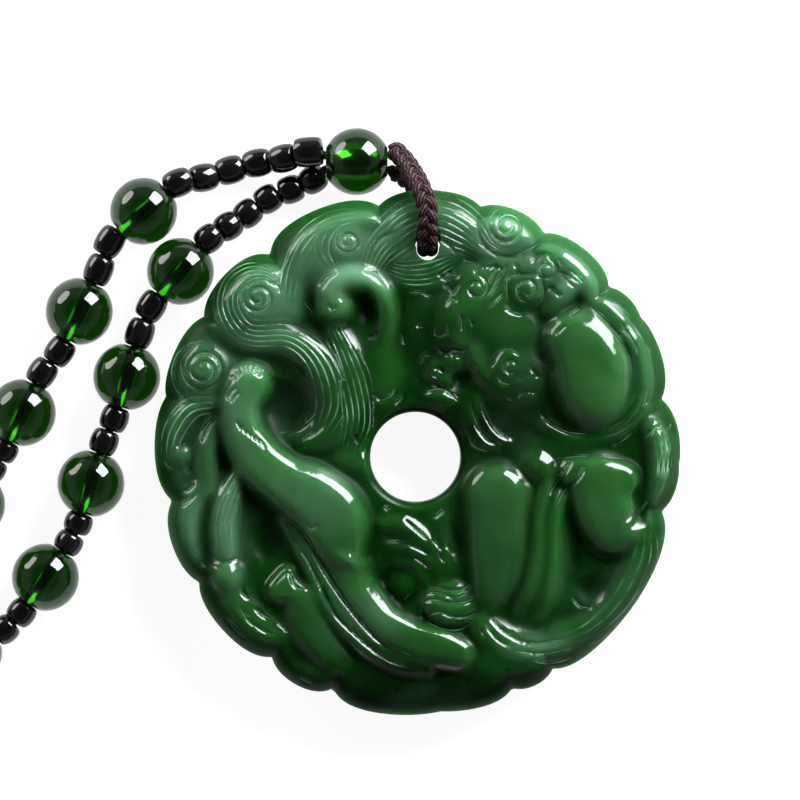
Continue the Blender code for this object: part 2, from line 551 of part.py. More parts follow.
def tube(name, strand, length, spacing, radius, finish):
    """Round cord along a strand, with a point every spacing."""
    stops = np.linspace(0.0, length, round(length / spacing) + 1)
    data = bpy.data.curves.new(name, "CURVE")
    data.dimensions = "3D"
    data.bevel_depth = radius * MM
    data.bevel_resolution = 2
    data.use_fill_caps = True
    spline = data.splines.new("POLY")
    spline.points.add(len(stops) - 1)
    for point, stop in zip(spline.points, stops):
        point.co = (*at(*strand.place(stop)), 1.0)
    return add(name, data, finish)


def bead_profile(radius, half, bore, rings):
    """Round bead with flat ends and a bore, anticlockwise from the bore's lower edge."""
    flat = math.asin(half / radius)
    arc = np.linspace(-flat, flat, rings)
    return [(bore, -half)] + [(radius * math.cos(a), radius * math.sin(a)) for a in arc] + [(bore, half)]


def drum_profile(radius, half, bore):
    """Barrel bead with bevelled edges."""
    return [(bore, -half), (radius - DRUM_EDGE, -half), (radius, DRUM_EDGE - half),
            (radius, half - DRUM_EDGE),
            (radius - DRUM_EDGE, half), (bore, half)]


def seed_profile(radius, half, bore):
    """Small bead, widest at its middle."""
    return [(bore, -half), (radius - DRUM_EDGE, -half), (radius, 0.0), (radius - DRUM_EDGE, half),
            (bore, half)]


def bead(name, mesh, strand, distance, finish):
    made = add(name, mesh, finish)
    made.location = at(*strand.place(distance))
    made.rotation_euler = strand.heading(distance).to_track_quat("Z", "X").to_euler()


def through(centre, heading):
    """Route points that run straight through a green bead."""
    middle = np.array([*centre, BEAD_RADIUS])
    step = np.array([*heading, 0.0]) / np.linalg.norm(heading) * (BEAD_HALF + STRAIGHT)
    return [middle - step, middle, middle + step]


def strand_points(route):
    return route["start"] + [p for b in route["beads"] for p in through(*b)] + route["end"]


def thread(letter, strand, first, route, mesh, green, black):
    """The beads of one strand: seed beads that fill the way to each green bead, and the few after the last.
    Returns where the last one ends."""
    number = 1
    begin = first
    for k, count in enumerate(route["runs"]):
        last = k == len(route["beads"])
        stop = 0.0 if last else strand.nearest((*route["beads"][k][0], BEAD_RADIUS))
        pitch = SEED_PITCH if last else (stop - BEAD_HALF - begin) / count
        seed = ring_mesh("seed_bead", seed_profile(SEED_RADIUS, (pitch - CLEAR) / 2, SEED_BORE), 8)
        for n in range(count):
            bead(f"seed_{letter}{number}", seed, strand, begin + (n + 0.5) * pitch, black)
            number += 1
        begin += count * pitch
        if not last:
            bead(f"bead_{letter}{k + 1}", mesh, strand, stop, green)
            begin = stop + BEAD_HALF
    return begin


def top_bead(mesh, finish):
    made = add("bead_top", mesh, finish)
    made.location = at(*TOP_BEAD)
    made.rotation_euler = (0.0, math.radians(90), 0.0)


def coil_arm(radius, start, turns):
    """One arm of the flat double spiral, from its outer end inwards, clockwise."""
    places = []
    steps = round(16 * turns)
    for k in range(steps + 1):
        share = turns * k / steps
        angle = math.radians(start) - 2 * math.pi * share
        r = radius - 2 * COIL_PITCH * share
        places.append((COIL[0] + r * math.cos(angle), COIL[1] + r * math.sin(angle), BEAD_RADIUS))
    return places


def coil_turn(side, sense, first):
    """Half circle between an arm's inner end and the middle of the coil."""
    middle = (COIL[0] + side * COIL_PITCH * math.cos(first), COIL[1] + side * COIL_PITCH * math.sin(first))
    places = []
    for k in range(1, 8):
        angle = first + sense * math.pi * k / 8
        places.append((middle[0] + COIL_PITCH * math.cos(angle), middle[1] + COIL_PITCH * math.sin(angle),
                       BEAD_RADIUS))
    return places


def coil_points():
    """Middle line of the coiled length: in on strand A's arm, through the middle, out on strand B's arm."""
    turns_a = ARM_A[0] / (2 * COIL_PITCH) - 1
    turns_b = ARM_B[0] / (2 * COIL_PITCH) - 1
    first = math.radians(ARM_A[1]) - 2 * math.pi * turns_a
    through_middle = coil_turn(1, -1, first) + [(*COIL, BEAD_RADIUS)] + coil_turn(-1, 1, first)
    return coil_arm(*ARM_A, turns_a) + through_middle + coil_arm(*ARM_B, turns_b)[::-1]


def chain_rings(begin, end):
    """Places along the coiled length, with the chain's radius at each: a green bead, then two seed beads."""
    count = round((end - begin + 2 * SEED_PITCH) / (2 * BEAD_HALF + 2 * SEED_PITCH))
    pitch = (end - begin - count * 2 * BEAD_HALF) / (count - 1) / 2
    mouth = math.sqrt(BEAD_RADIUS ** 2 - BEAD_HALF ** 2)
    rings = []
    for k in range(count):
        start = begin + k * (2 * BEAD_HALF + 2 * pitch)
        for share, radius in ((0.0, mouth), (0.14, 2.35), (0.5, BEAD_RADIUS), (0.86, 2.35), (1.0, mouth)):
            rings.append((start + share * 2 * BEAD_HALF, radius))
        if k < count - 1:
            for share, radius in ((0.5, SEED_RADIUS), (1.0, SEED_WAIST), (1.5, SEED_RADIUS)):
                rings.append((start + 2 * BEAD_HALF + share * pitch, radius))
    return rings


def coil(strand, begin, end, finish):
    """The coiled length with its beads, as one chain."""
    verts, faces = [], []
    rings = chain_rings(begin, end)
    for stop, radius in rings:
        middle = Vector(strand.place(stop))
        side = strand.heading(stop).cross(Vector((0, 0, 1))).normalized()
        for s in range(CHAIN_SIDES):
            angle = 2 * math.pi * (s + 0.5) / CHAIN_SIDES
            verts.append(at(*(middle + (side * math.cos(angle) + Vector((0, 0, math.sin(angle)))) * radius)))
    for k in range(len(rings) - 1):
        for s in range(CHAIN_SIDES):
            n = (s + 1) % CHAIN_SIDES
            base = k * CHAIN_SIDES
            faces.append((base + s, base + CHAIN_SIDES + s, base + CHAIN_SIDES + n, base + n))
    faces.append(tuple(range(CHAIN_SIDES)))
    faces.append(tuple(reversed(range(len(verts) - CHAIN_SIDES, len(verts)))))
    mesh = bpy.data.meshes.new("necklace_coil")
    mesh.from_pydata(verts, [], faces)
    mesh.shade_smooth()
    add("necklace_coil", mesh, finish)


def build():
    clear_scene()
    jade = material("jade", (0.045, 0.17, 0.06), 0.12)
    green = material("green_glass", (0.01, 0.09, 0.02), 0.05, 0.6)
    black = material("black_glass", (0.006, 0.005, 0.006), 0.08)
    braid = material("braided_cord", (0.06, 0.02, 0.028), 0.7)
    twine = material("string", (0.03, 0.015, 0.018), 0.8)
    cut_bore(pendant(jade))
    loop = Strand(loop_route())
    tube("braided_loop", loop, loop.walked[-1], LOOP_SPACING, LOOP_RADIUS, braid)
    round_bead = ring_mesh("green_bead", bead_profile(BEAD_RADIUS, BEAD_HALF, BEAD_BORE, 6), 12)
    top_bead(ring_mesh("top_bead", bead_profile(BEAD_RADIUS, BEAD_HALF, TOP_BORE, 6), 14), green)
    points_a, points_b = strand_points(ROUTE_A), strand_points(ROUTE_B)
    strand_a, strand_b = Strand(points_a), Strand(points_b)
    middle = strand_a.nearest(BARREL)
    barrel = ring_mesh("barrel_bead", drum_profile(BARREL_RADIUS, BARREL_HALF, BARREL_BORE), 10)
    bead("barrel_bead", barrel, strand_a, middle, black)
    end_a = thread("a", strand_a, middle + BARREL_HALF, ROUTE_A, round_bead, green, black)
    first = strand_b.nearest(ROUTE_B["start"][1]) + MOUTH_GAP
    end_b = thread("b", strand_b, first, ROUTE_B, round_bead, green, black)
    tube("string_a", strand_a, end_a, STRING_SPACING, STRING_RADIUS, twine)
    tube("string_b", strand_b, end_b, STRING_SPACING, STRING_RADIUS, twine)
    whole = Strand(points_a + coil_points() + points_b[::-1])
    coil(whole, end_a + CLEAR, whole.walked[-1] - end_b - CLEAR, green)


build()
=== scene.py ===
"""Carved jade ring pendant on its braided loop and bead necklace, lying on a pale table.

Lengths are in millimetres and become metres in at(). X is right, Y is up on the carved face and Z comes
out of it. The origin is the bottom centre of the pendant's own box.
"""
import math

import bpy
import numpy as np
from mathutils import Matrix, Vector


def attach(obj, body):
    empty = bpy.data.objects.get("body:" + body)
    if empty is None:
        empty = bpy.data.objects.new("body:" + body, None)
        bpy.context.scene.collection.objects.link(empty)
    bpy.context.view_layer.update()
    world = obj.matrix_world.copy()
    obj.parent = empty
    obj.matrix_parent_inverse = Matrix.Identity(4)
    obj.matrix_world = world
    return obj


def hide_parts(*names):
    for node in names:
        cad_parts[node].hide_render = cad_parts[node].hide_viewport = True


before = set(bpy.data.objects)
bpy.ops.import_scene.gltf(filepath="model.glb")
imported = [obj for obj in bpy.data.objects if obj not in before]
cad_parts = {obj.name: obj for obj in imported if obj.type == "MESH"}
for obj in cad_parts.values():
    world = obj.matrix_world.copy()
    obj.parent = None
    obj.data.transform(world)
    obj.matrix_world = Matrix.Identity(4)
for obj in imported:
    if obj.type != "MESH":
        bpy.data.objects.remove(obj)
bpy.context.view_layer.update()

MM = 0.001
SHARP = math.radians(50)  # a turn between two faces from which their edge is shaded sharp

# Disc, as in the solid
LOBE_RADIUS = 25.0
NOTCHES = (  # angle in degrees, depth, half spread in degrees
    (99.0, 1.35, 4.0), (75.7, 0.95, 3.5), (60.2, 1.05, 3.5), (41.0, 1.1, 3.0), (31.3, 0.3, 2.0),
    (12.5, 1.4, 4.5), (-2.6, 0.15, 3.0), (-13.4, 1.3, 4.0), (-58.0, 0.9, 3.0), (-68.2, 0.95, 3.0),
    (-85.0, 0.45, 8.0), (-109.8, 1.3, 3.0), (-125.6, 1.25, 3.5), (-149.4, 0.95, 3.5),
    (-169.0, 1.3, 4.0), (167.5, 0.6, 3.0), (147.5, 1.0, 3.5), (126.7, 1.6, 3.5),
)
GROUND = 5.7          # height of the face between the carved forms
SEAM = 4.7            # height at which the front and the back meet at the rim
RIM_ROUND = 2.3
RIM_POWER = 0.75
BACK_ROUND = 1.8
BACK_FLAT = 10.5      # radius of the flat that the pendant rests on
BACK_OUTER = 19.0     # radius from which the back has risen by BACK_LIFT
BACK_LIFT = 3.0
BACK_HOLE_ROUND = 0.4
HOLE = (-0.25, -0.4)
HOLE_RADIUS = 4.27
HOLE_ROUND = 0.9
MIDDLE = (-0.08, 0.08)  # middle of the outline's box in the drawing frame of the lengths below
FRONT_SPACING = 0.15
BACK_SPACING = 0.6

# Braided loop
LOOP_RADIUS = 0.95
CLEAR = 0.3
BORE = (0.9, 19.25)
BORE_RADIUS = 1.07
BORE_ENDS = (-1.0, 12.0)  # heights past both faces, between which the bore is cut
BORE_SIDES = 40
LOOP_TOP = 8.4
LOOP_LOW = 1.25
PAST_RIM = 3.0        # how far the cut for the loop runs on beyond its half circle
TURN_STEPS = 10
TURN_SIDES = 24
BRAID_STEP = 0.16
BRAID_TURN = 3.4      # length in which one strand of the braid crosses over and back
BRAID_WIDE = 0.54     # how far a strand swings to each side, and to the front and back
BRAID_DEEP = 0.26
BRAID_STRAND = 0.48   # radius of one strand
STRAND_SIDES = 14
FIBRES = 9
FIBRE_TWIST = 2.2     # radians per millimetre

# Beads
BEAD_RADIUS = 3.2
BEAD_HALF = 2.92      # half the length of a green bead along its bore
STRAIGHT = 1.0        # straight string on each side of a green bead
GREEN_BORE = 0.6
TOP_BORE = 1.25
MOUTH_SOFT = 0.12
SEED_RADIUS = 1.37
SEED_PITCH = 2.2
SEED_BORE = 0.5
SEED_ROUND = 0.6
SEED_GAP = 0.08
MOUTH_GAP = 0.8       # from the top bead's mouth to strand B's first seed bead
BARREL_RADIUS = 1.45
BARREL_HALF = 1.3
STRING_RADIUS = 0.4
TOP_BEAD = (-5.8, 27.6, BEAD_RADIUS)
BARREL = (-10.35, 28.5, 3.4)

# How the carved forms are lowered and polished
GRID = 0.16
POLISH = 0.3          # reach of the blur that softens their edges
LEVEL = 6.4           # height that the ground is brought to
LOW_SHARE = 0.6       # share that is kept of the heights below and above the shoulder
SHOULDER = 8.0
HIGH_SHARE = 0.8
MASS_REACH = 2.4      # reach of the blur that gives the broad masses
FORM_SHARE = 0.92     # share that is kept of what stands out of the broad masses

# Fine engraved lines
GROOVE_DEPTH = 0.22
GROOVE_WIDTH = 0.16
GROOVE_ENDS = 0.3     # share of a groove's length over which it rises at each end
STRAND_DEPTH = 0.05
STRAND_WIDTH = 0.12
SCORE_REACH = 0.26
SCORE_EDGE = 0.06
SCORE_ENDS = 0.2
LOCK_REACH = 1.25     # half width of a combed lock, as a share of the lock's own
LOCK_EDGE = 0.3
LOCK_ENDS = 0.15
# Share by which the combed lines are lightened, a painted highlight along the grooves
LINE_HIGHLIGHT = 0.65

GLASS_DENSITY = 1300.0    # per metre
WHITE = (1.0, 1.0, 1.0)

# Stored depths, from which the jade's painted shade and light and its polish are mixed
FRONT_BELOW = 0.8     # how far below the seam the front's shades still reach
DEPTH_REACH = 1.3     # how far round a point its surroundings count
CAVITY_SPAN = 1.6
LOWEST = 5.4
HIGHEST = 8.6
# Painted shade that darkens the stone along the rim, and how far in from the outline it reaches
EDGE_DARK = 0.3
EDGE_SPAN = 0.7
STEEP = 0.4           # upward share of the surface's direction where the polish begins, and is full
GENTLE = 0.76

# Spots where the stone is painted milkier or deeper green: middle, radii, turn and amount. The milky spots
# are partly painted light, the one on the tail a painted highlight; the deeper green ones are painted shade
# in the hollows, under the face and along the bottom
MILK_AND_SHADE_SPOTS = (
    (-15.0, 14.5, 5.0, 5.0, 0, 0.6), (-7.0, 20.5, 6.0, 3.5, 10, 0.55), (0.5, 21.5, 4.0, 3.0, 0, 0.45),
    (8.5, 21.5, 4.0, 3.0, 0, 0.95), (14.5, 17.0, 4.0, 2.6, -45, 0.9), (21.0, 9.5, 2.0, 6.0, 12, 0.3),
    (-5.8, 16.4, 3.4, 1.8, 0, 0.55), (-21.0, 7.5, 3.5, 3.5, 0, 0.1), (-16.5, 4.0, 2.5, 4.5, 0, 0.4),
    (-10.0, -4.0, 4.0, 3.5, -40, 0.35), (16.2, 7.9, 4.5, 6.5, 9, -0.1), (7.5, 11.0, 5.0, 3.5, 0, -0.3),
    (9.0, 7.0, 4.0, 3.0, 0, -0.2), (7.0, -8.0, 4.0, 6.0, 0, -0.3), (0.0, -22.5, 14.0, 3.2, 0, -1.0),
    (0.8, 11.0, 2.6, 5.0, 0, -0.8), (7.0, 2.2, 6.0, 2.8, -15, -1.0), (-1.0, -9.5, 4.0, 4.5, 0, -0.25),
    (-14.0, -8.0, 2.5, 4.0, 0, -0.15), (16.0, -11.5, 2.5, 4.0, 0, -0.4), (-4.0, -15.5, 3.0, 2.0, -45, 0.4),
    (-22.0, -7.0, 2.5, 3.5, 0, 0.6), (-17.8, -7.0, 2.0, 5.0, 0, 0.55), (-23.0, 2.0, 2.0, 4.0, 0, 0.25),
    (11.0, -18.5, 4.0, 1.6, 8, 0.55), (23.0, -1.0, 2.0, 4.0, 0, 0.2), (-12.7, 4.4, 2.6, 2.8, 0, -0.5),
)

# Camera in millimetres, its view as wide as VIEW_WIDTH at VIEW_LEVEL; floor and light in metres
VIEW_MIDDLE = (-1.7, 5.0)
VIEW_WIDTH = 75.6
VIEW_LEVEL = 5.0
CAMERA_HEIGHT = 600.0
FLOOR_HALF = 1.5
SOFTBOX_AWAY = 0.5
KEY_POWER = 8.5
KEY_SIZE = (0.3, 0.38)
SIDE_POWER = 1.8
SIDE_SIZE = (0.36, 0.26)
WALL_LIGHT = 0.25
CEILING_LIGHT = 0.05
FLOOR_GLOW = 0.92

# The necklace's two strands, and the coil that the rest of it lies in
COIL = (-88.3, -16.0)
COIL_PITCH = 6.8        # between neighbouring windings
COIL_STEPS = 16         # points in one turn
ARM_A = (30.6, -18.0)   # radius and angle at which strand A's arm of the double spiral starts
ARM_B = (37.1, -26.05)
ROUTE_A = {
    "start": [(-6.9, 28.15, 3.2), (-8.9, 28.2, 3.3), BARREL, (-12.9, 27.9, 2.4), (-15.4, 27.5, 1.5),
              (-17.7, 26.9, 1.45), (-20.0, 26.2, 1.8)],
    "beads": [((-26.0, 22.9), (-0.76, -0.65)), ((-32.1, 13.4), (-0.43, -0.9)), ((-37.5, 3.8), (-0.44, -0.9)),
              ((-42.3, -4.9), (-0.5, -0.87))],
    "end": [(-46.9, -13.0, 3.1), (-50.0, -15.6, BEAD_RADIUS), (-53.8, -17.8, BEAD_RADIUS),
            (-57.0, -21.2, BEAD_RADIUS)],
    "runs": (5, 2, 2, 2, 2),
}
ROUTE_B = {
    "start": [(-6.9, 27.05, 3.2), (-8.7, 26.9, 2.9), (-9.9, 26.0, 1.75), (-11.6, 25.2, 1.45),
              (-13.7, 24.4, 1.45), (-15.3, 23.4, 1.45), (-17.0, 22.1, 1.8)],
    "beads": [((-22.5, 17.2), (-0.65, -0.76)), ((-27.6, 7.2), (-0.28, -0.96)), ((-31.0, -2.9), (-0.3, -0.95)),
              ((-35.3, -11.8), (-0.56, -0.83)), ((-42.6, -18.9), (-0.85, -0.53))],
    "end": [(-48.4, -22.2, 3.1), (-51.2, -24.9, BEAD_RADIUS), (-53.4, -28.6, BEAD_RADIUS)],
    "runs": (6, 2, 2, 2, 2, 1),
}


def at(x, y, z):
    return Vector(((x - MIDDLE[0]) * MM, (y - MIDDLE[1]) * MM, z * MM))


def curve(points, per=6):
    """Smooth line through the points; every column is carried along."""
    p = np.array(points, float)
    p = np.vstack([2 * p[0] - p[1], p, 2 * p[-1] - p[-2]])
    line = []
    for a, b, c, d in zip(p, p[1:], p[2:], p[3:]):
        for s in np.arange(per) / per:
            line.append(b + 0.5 * s * (c - a + s * (2 * a - 5 * b + 4 * c - d + s * (3 * b - a - 3 * c + d))))
    line.append(p[-2])
    return np.array(line)


def soft_max(a, b, blend):
    return np.maximum(a, b) + 0.25 * blend * np.maximum(0.0, 1.0 - np.abs(a - b) / blend) ** 2


def nearest_place(a, b, x, y):
    """Nearest place to the points x, y on the straight line from a to b, and its share of the way."""
    step = b[:2] - a[:2]
    share = np.clip(((x - a[0]) * step[0] + (y - a[1]) * step[1]) / (step @ step), 0, 1)
    return [p + share * (q - p) for p, q in zip(a, b)], share


def outline(angle):
    """Radius of the lobed rim at an angle in radians."""
    radius = np.full(np.shape(angle), LOBE_RADIUS)
    for place, depth, spread in NOTCHES:
        off = np.abs((np.degrees(angle) - place + 180.0) % 360.0 - 180.0)
        radius = radius - depth * np.exp(-off / spread)
    return radius


def faded_ends(along, share):
    """Strength along a line, which falls to nought over a share of its length at each end."""
    return np.clip(np.minimum(along, 1 - along) / share, 0, 1)


class Relief:
    """Heights of the carved face over the points x, y."""

    def __init__(self, x, y):
        self.x, self.y = x, y
        self.z = np.full(x.shape, GROUND)

    def near(self, line, reach):
        """Numbers of the points that lie within reach of a line's box."""
        low, high = line[:, :2].min(0) - reach, line[:, :2].max(0) + reach
        inside = (self.x > low[0]) & (self.x < high[0]) & (self.y > low[1]) & (self.y < high[1])
        return np.nonzero(inside)[0]

    def limb(self, points, full=2.3, drop=3.2, blend=0.7):
        """Rounded limb through points of x, y, half width and crest height."""
        line = curve(points)
        keep = self.near(line, 1.6 * line[:, 2].max())
        x, y = self.x[keep], self.y[keep]
        top = np.full(x.shape, -9.0)
        for a, b in zip(line, line[1:]):
            (px, py, half, crest), _ = nearest_place(a, b, x, y)
            top = np.maximum(top, crest - drop * (np.hypot(x - px, y - py) / half) ** full)
        self.z[keep] = soft_max(self.z[keep], top, blend)

    def across(self, cx, cy, rx, ry, turn):
        """Distance from an ellipse's centre as a share of its radius."""
        c, s = math.cos(math.radians(turn)), math.sin(math.radians(turn))
        dx, dy = self.x - cx, self.y - cy
        return np.hypot((c * dx + s * dy) / rx, (c * dy - s * dx) / ry)

    def boss(self, cx, cy, rx, ry, turn, crest, full=2.2, drop=3.2, blend=0.7):
        rise = crest - drop * self.across(cx, cy, rx, ry, turn) ** full
        self.z = soft_max(self.z, rise, blend)

    def hollow(self, cx, cy, rx, ry, turn, floor, full=2.5, drop=3.0, blend=0.7):
        sink = floor + drop * self.across(cx, cy, rx, ry, turn) ** full
        self.z = -soft_max(-self.z, -sink, blend)

    def beside(self, line, reach):
        """Points near a line: their signed distance to it, share of its length and half width there."""
        keep = self.near(line, reach)
        x, y = self.x[keep], self.y[keep]
        gap, along, half = np.full((3, len(keep)), 1e9)
        for k, (a, b) in enumerate(zip(line, line[1:])):
            place, share = nearest_place(a, b, x, y)
            away = np.hypot(x - place[0], y - place[1])
            closer = away < np.abs(gap)
            left = (b[0] - a[0]) * (y - place[1]) >= (b[1] - a[1]) * (x - place[0])
            gap = np.where(closer, np.where(left, away, -away), gap)
            along = np.where(closer, (k + share) / (len(line) - 1), along)
            half = np.where(closer, place[-1], half)
        return keep, gap, along, half

    def score(self, points, depth=GROOVE_DEPTH, width=GROOVE_WIDTH, per=6):
        """Groove along a line, faded at its two ends."""
        keep, gap, along, _ = self.beside(curve(points, per), 3.5 * width)
        fade = np.sin(np.pi * faded_ends(along, GROOVE_ENDS) / 2)
        self.z[keep] -= depth * fade * np.exp(-(gap / width) ** 2)

    def scores(self, lines, depth=GROOVE_DEPTH, width=GROOVE_WIDTH):
        for line in lines:
            self.score(line, depth, width)

    def strands(self, points, count, depth=STRAND_DEPTH):
        """Lock of hair: grooves side by side along a line whose points are x, y and half width."""
        line = curve(points)
        step = np.gradient(line[:, :2], axis=0)
        normal = np.stack([-step[:, 1], step[:, 0]], 1) / np.linalg.norm(step, axis=1)[:, None]
        for k in range(count):
            place = (2 * k + 1) / count - 1
            groove = line[::3, :2] + normal[::3] * line[::3, 2:3] * place
            self.score(groove, depth, STRAND_WIDTH, per=3)

    def spiral(self, cx, cy, r0, r1, start, turns):
        """Groove that winds from radius r0 to r1."""
        share = np.linspace(0, 1, max(4, round(abs(turns) * 10) + 1))
        angle = math.radians(start) + share * turns * 2 * math.pi
        radius = r0 + (r1 - r0) * share
        self.score(np.stack([cx + radius * np.cos(angle), cy + radius * np.sin(angle)], 1), per=3)


def swirl(cx, cy, stops):
    """Line round a centre, from angle, radius and half width at each stop."""
    return [(cx + r * math.cos(math.radians(a)), cy + r * math.sin(math.radians(a)), w) for a, r, w in stops]


class Comb(Relief):
    """Fine combed lines over the points: which line a point is on, and how strongly it is cut."""

    def __init__(self, x, y):
        super().__init__(x, y)
        self.line = np.zeros(x.shape)
        self.cut = np.zeros(x.shape)

    def keep_better(self, keep, fade, line):
        better = fade > self.cut[keep]
        self.line[keep] = np.where(better, line, self.line[keep])
        self.cut[keep] = np.where(better, fade, self.cut[keep])

    def score(self, points, depth=GROOVE_DEPTH, width=GROOVE_WIDTH, per=6):
        keep, gap, along, _ = self.beside(curve(points, per), 2 * SCORE_REACH)
        inside = np.clip((SCORE_REACH - np.abs(gap)) / SCORE_EDGE, 0, 1)
        self.keep_better(keep, inside * faded_ends(along, SCORE_ENDS), 0.25 + gap / (2 * SCORE_REACH))

    def strands(self, points, count, depth=STRAND_DEPTH):
        line = curve(points)
        keep, gap, along, half = self.beside(line, line[:, 2].max())
        across = gap / half
        inside = np.clip((LOCK_REACH - np.abs(across)) / LOCK_EDGE, 0, 1)
        fade = inside * faded_ends(along, LOCK_ENDS) * min(1, depth / STRAND_DEPTH)
        self.keep_better(keep, fade, (across + 1) * count / 2 - 0.25)


def broad_masses(s):
    """Low swellings that the carved figures grow from."""
    for cx, cy, rx, ry, turn, crest, full, drop in (
            (-7.6, 19.0, 5.6, 5.2, 20, 7.3, 3.5, 2.2), (0.4, 20.6, 5.6, 4.6, 0, 7.1, 3.5, 2.0),
            (0.2, 16.6, 3.6, 2.6, 0, 6.9, 3.0, 1.8), (8.4, 21.0, 4.2, 3.4, -10, 7.4, 3.0, 2.2),
            (14.6, 17.4, 4.0, 2.4, -48, 7.5, 3.0, 2.4), (9.6, 16.8, 5.4, 2.6, -8, 7.4, 3.0, 2.0),
            (-15.4, 14.4, 5.4, 4.8, 0, 7.4, 3.2, 2.4), (-20.4, 7.7, 4.2, 3.9, 0, 7.1, 3.2, 2.4),
            (-3.4, 7.2, 2.6, 4.6, 0, 6.6, 3.0, 1.6), (-7.2, 6.6, 3.2, 6.0, 0, 6.9, 3.2, 1.8),
            (-5.9, -1.0, 3.2, 1.6, -10, 6.4, 3.0, 1.6), (13.6, 0.2, 6.5, 1.5, 0, 6.4, 3.0, 1.2),
            (-10.6, -15.2, 3.6, 2.6, -50, 6.9, 3.0, 2.0), (7.8, -19.8, 5.0, 1.9, 0, 6.4, 3.0, 0.9),
            (11.6, -9.2, 3.0, 6.6, 0, 6.7, 3.2, 1.8)):
        s.boss(cx, cy, rx, ry, turn, crest, full, drop)


def rim_lobes(s):
    s.limb([(-19.4, 4.8, 1.4, 6.8), (-21.8, 4.1, 1.7, 7.2), (-23.5, 2.0, 1.7, 6.9),
            (-24.0, -1.0, 1.4, 6.5)], 3)
    s.limb([(-20.6, -3.4, 1.4, 6.9), (-22.0, -6.2, 1.9, 7.2), (-22.0, -8.8, 1.8, 7.1),
            (-20.9, -11.4, 1.5, 6.7)], 3)
    s.boss(-22.3, -0.3, 1.8, 1.8, 0, 6.7)
    s.limb([(-19.2, 3.0, 1.0, 6.6), (-19.8, 1.0, 1.4, 7.2), (-19.9, -1.2, 1.5, 7.4),
            (-19.7, -3.8, 1.3, 6.9)], 2.8)
    s.limb([(-19.4, -14.0, 1.4, 6.2), (-17.8, -16.4, 1.5, 6.5), (-15.4, -18.0, 1.4, 6.4),
            (-13.0, -19.0, 1.2, 6.2)], 3)
    s.limb([(-13.4, -19.8, 1.5, 6.2), (-11.2, -21.0, 1.6, 6.5), (-8.8, -21.4, 1.4, 6.3)], 3)
    s.limb([(22.4, -5.6, 1.6, 6.6), (21.4, -10.2, 2.8, 7.0), (19.3, -14.6, 2.8, 7.0),
            (16.2, -17.6, 2.2, 6.8)], 3)


def hair(s):
    s.limb([(-12.0, 13.4, 1.5, 6.8), (-11.6, 16.8, 1.9, 7.3), (-10.0, 19.8, 2.2, 7.6),
            (-7.2, 22.0, 2.2, 7.5), (-4.2, 22.4, 1.7, 7.3)], 2.8)
    s.boss(-6.7, 19.7, 3.0, 2.7, 0, 8.0)
    s.limb([(-5.0, 17.0, 1.8, 6.9), (-3.6, 19.6, 2.3, 7.2), (-0.6, 21.9, 2.7, 7.2), (2.2, 22.0, 2.8, 7.2),
            (4.4, 20.9, 2.5, 7.3), (6.0, 19.4, 1.8, 7.1), (7.8, 18.6, 1.2, 6.9)], 3)
    s.boss(8.3, 21.4, 3.0, 2.4, 0, 8.0)
    s.limb([(12.2, 19.3, 1.6, 7.4), (14.6, 18.0, 1.9, 7.8), (16.4, 15.9, 1.7, 7.6)], 2.6)
    s.boss(-15.2, 14.7, 4.4, 4.1, 0, 8.2, full=2.6, drop=2.4)
    s.boss(-20.2, 7.7, 3.3, 3.1, 0, 7.8)
    s.limb([(-19.0, 12.6, 1.7, 7.0), (-16.4, 10.8, 2.0, 7.2), (-13.2, 10.7, 2.0, 7.4),
            (-10.4, 9.4, 2.2, 7.5), (-8.4, 6.8, 2.4, 7.4), (-7.6, 4.2, 2.5, 7.3), (-8.6, 1.9, 2.2, 7.0),
            (-10.6, 0.8, 1.6, 6.6)], 3)
    s.limb([(-7.8, 11.6, 1.6, 6.9), (-6.6, 8.8, 1.8, 7.1), (-6.0, 5.2, 1.9, 7.0)], 3)


def hollows(s):
    for cx, cy, rx, ry, turn, floor in (
            (-12.7, 4.4, 3.1, 3.4, 0, 3.9), (-14.3, -8.3, 2.5, 3.4, 0, 4.7),
            (-17.9, -0.3, 1.2, 2.2, 0, 4.2), (-0.2, 10.8, 1.5, 3.4, 5, 4.4),
            (3.6, 7.4, 2.6, 1.8, -25, 4.8), (-1.9, -12.6, 2.8, 2.9, 0, 4.0),
            (14.7, -9.2, 0.9, 3.6, 0, 4.8), (16.1, -12.8, 2.2, 2.1, 0, 5.0),
            (9.8, 2.4, 3.4, 1.2, -20, 5.5), (3.2, -8.0, 1.4, 3.2, 12, 4.8),
            (-12.2, -15.4, 0.7, 1.1, 0, 5.2)):
        s.hollow(cx, cy, rx, ry, turn, floor)


def horn_curl(s):
    s.boss(0.6, 12.0, 2.6, 5.0, 0, 6.4, full=3.0, drop=1.6)
    s.limb([(-3.5, 8.6, 1.2, 6.4), (-3.2, 10.6, 1.3, 6.7), (-2.95, 13.0, 1.3, 7.5),
            (-3.4, 14.8, 1.4, 8.3), (-4.6, 16.1, 1.5, 8.7), (-6.1, 16.5, 1.6, 8.8),
            (-7.5, 16.1, 1.6, 8.8), (-8.4, 15.0, 1.5, 8.7)], full=3.0, drop=2.8, blend=0.6)
    s.boss(-7.9, 13.8, 1.9, 1.9, 0, 8.7, full=3.4, drop=2.6)
    s.hollow(-4.9, 13.4, 1.0, 2.0, 4, 4.9, full=3.0, drop=2.6, blend=0.6)


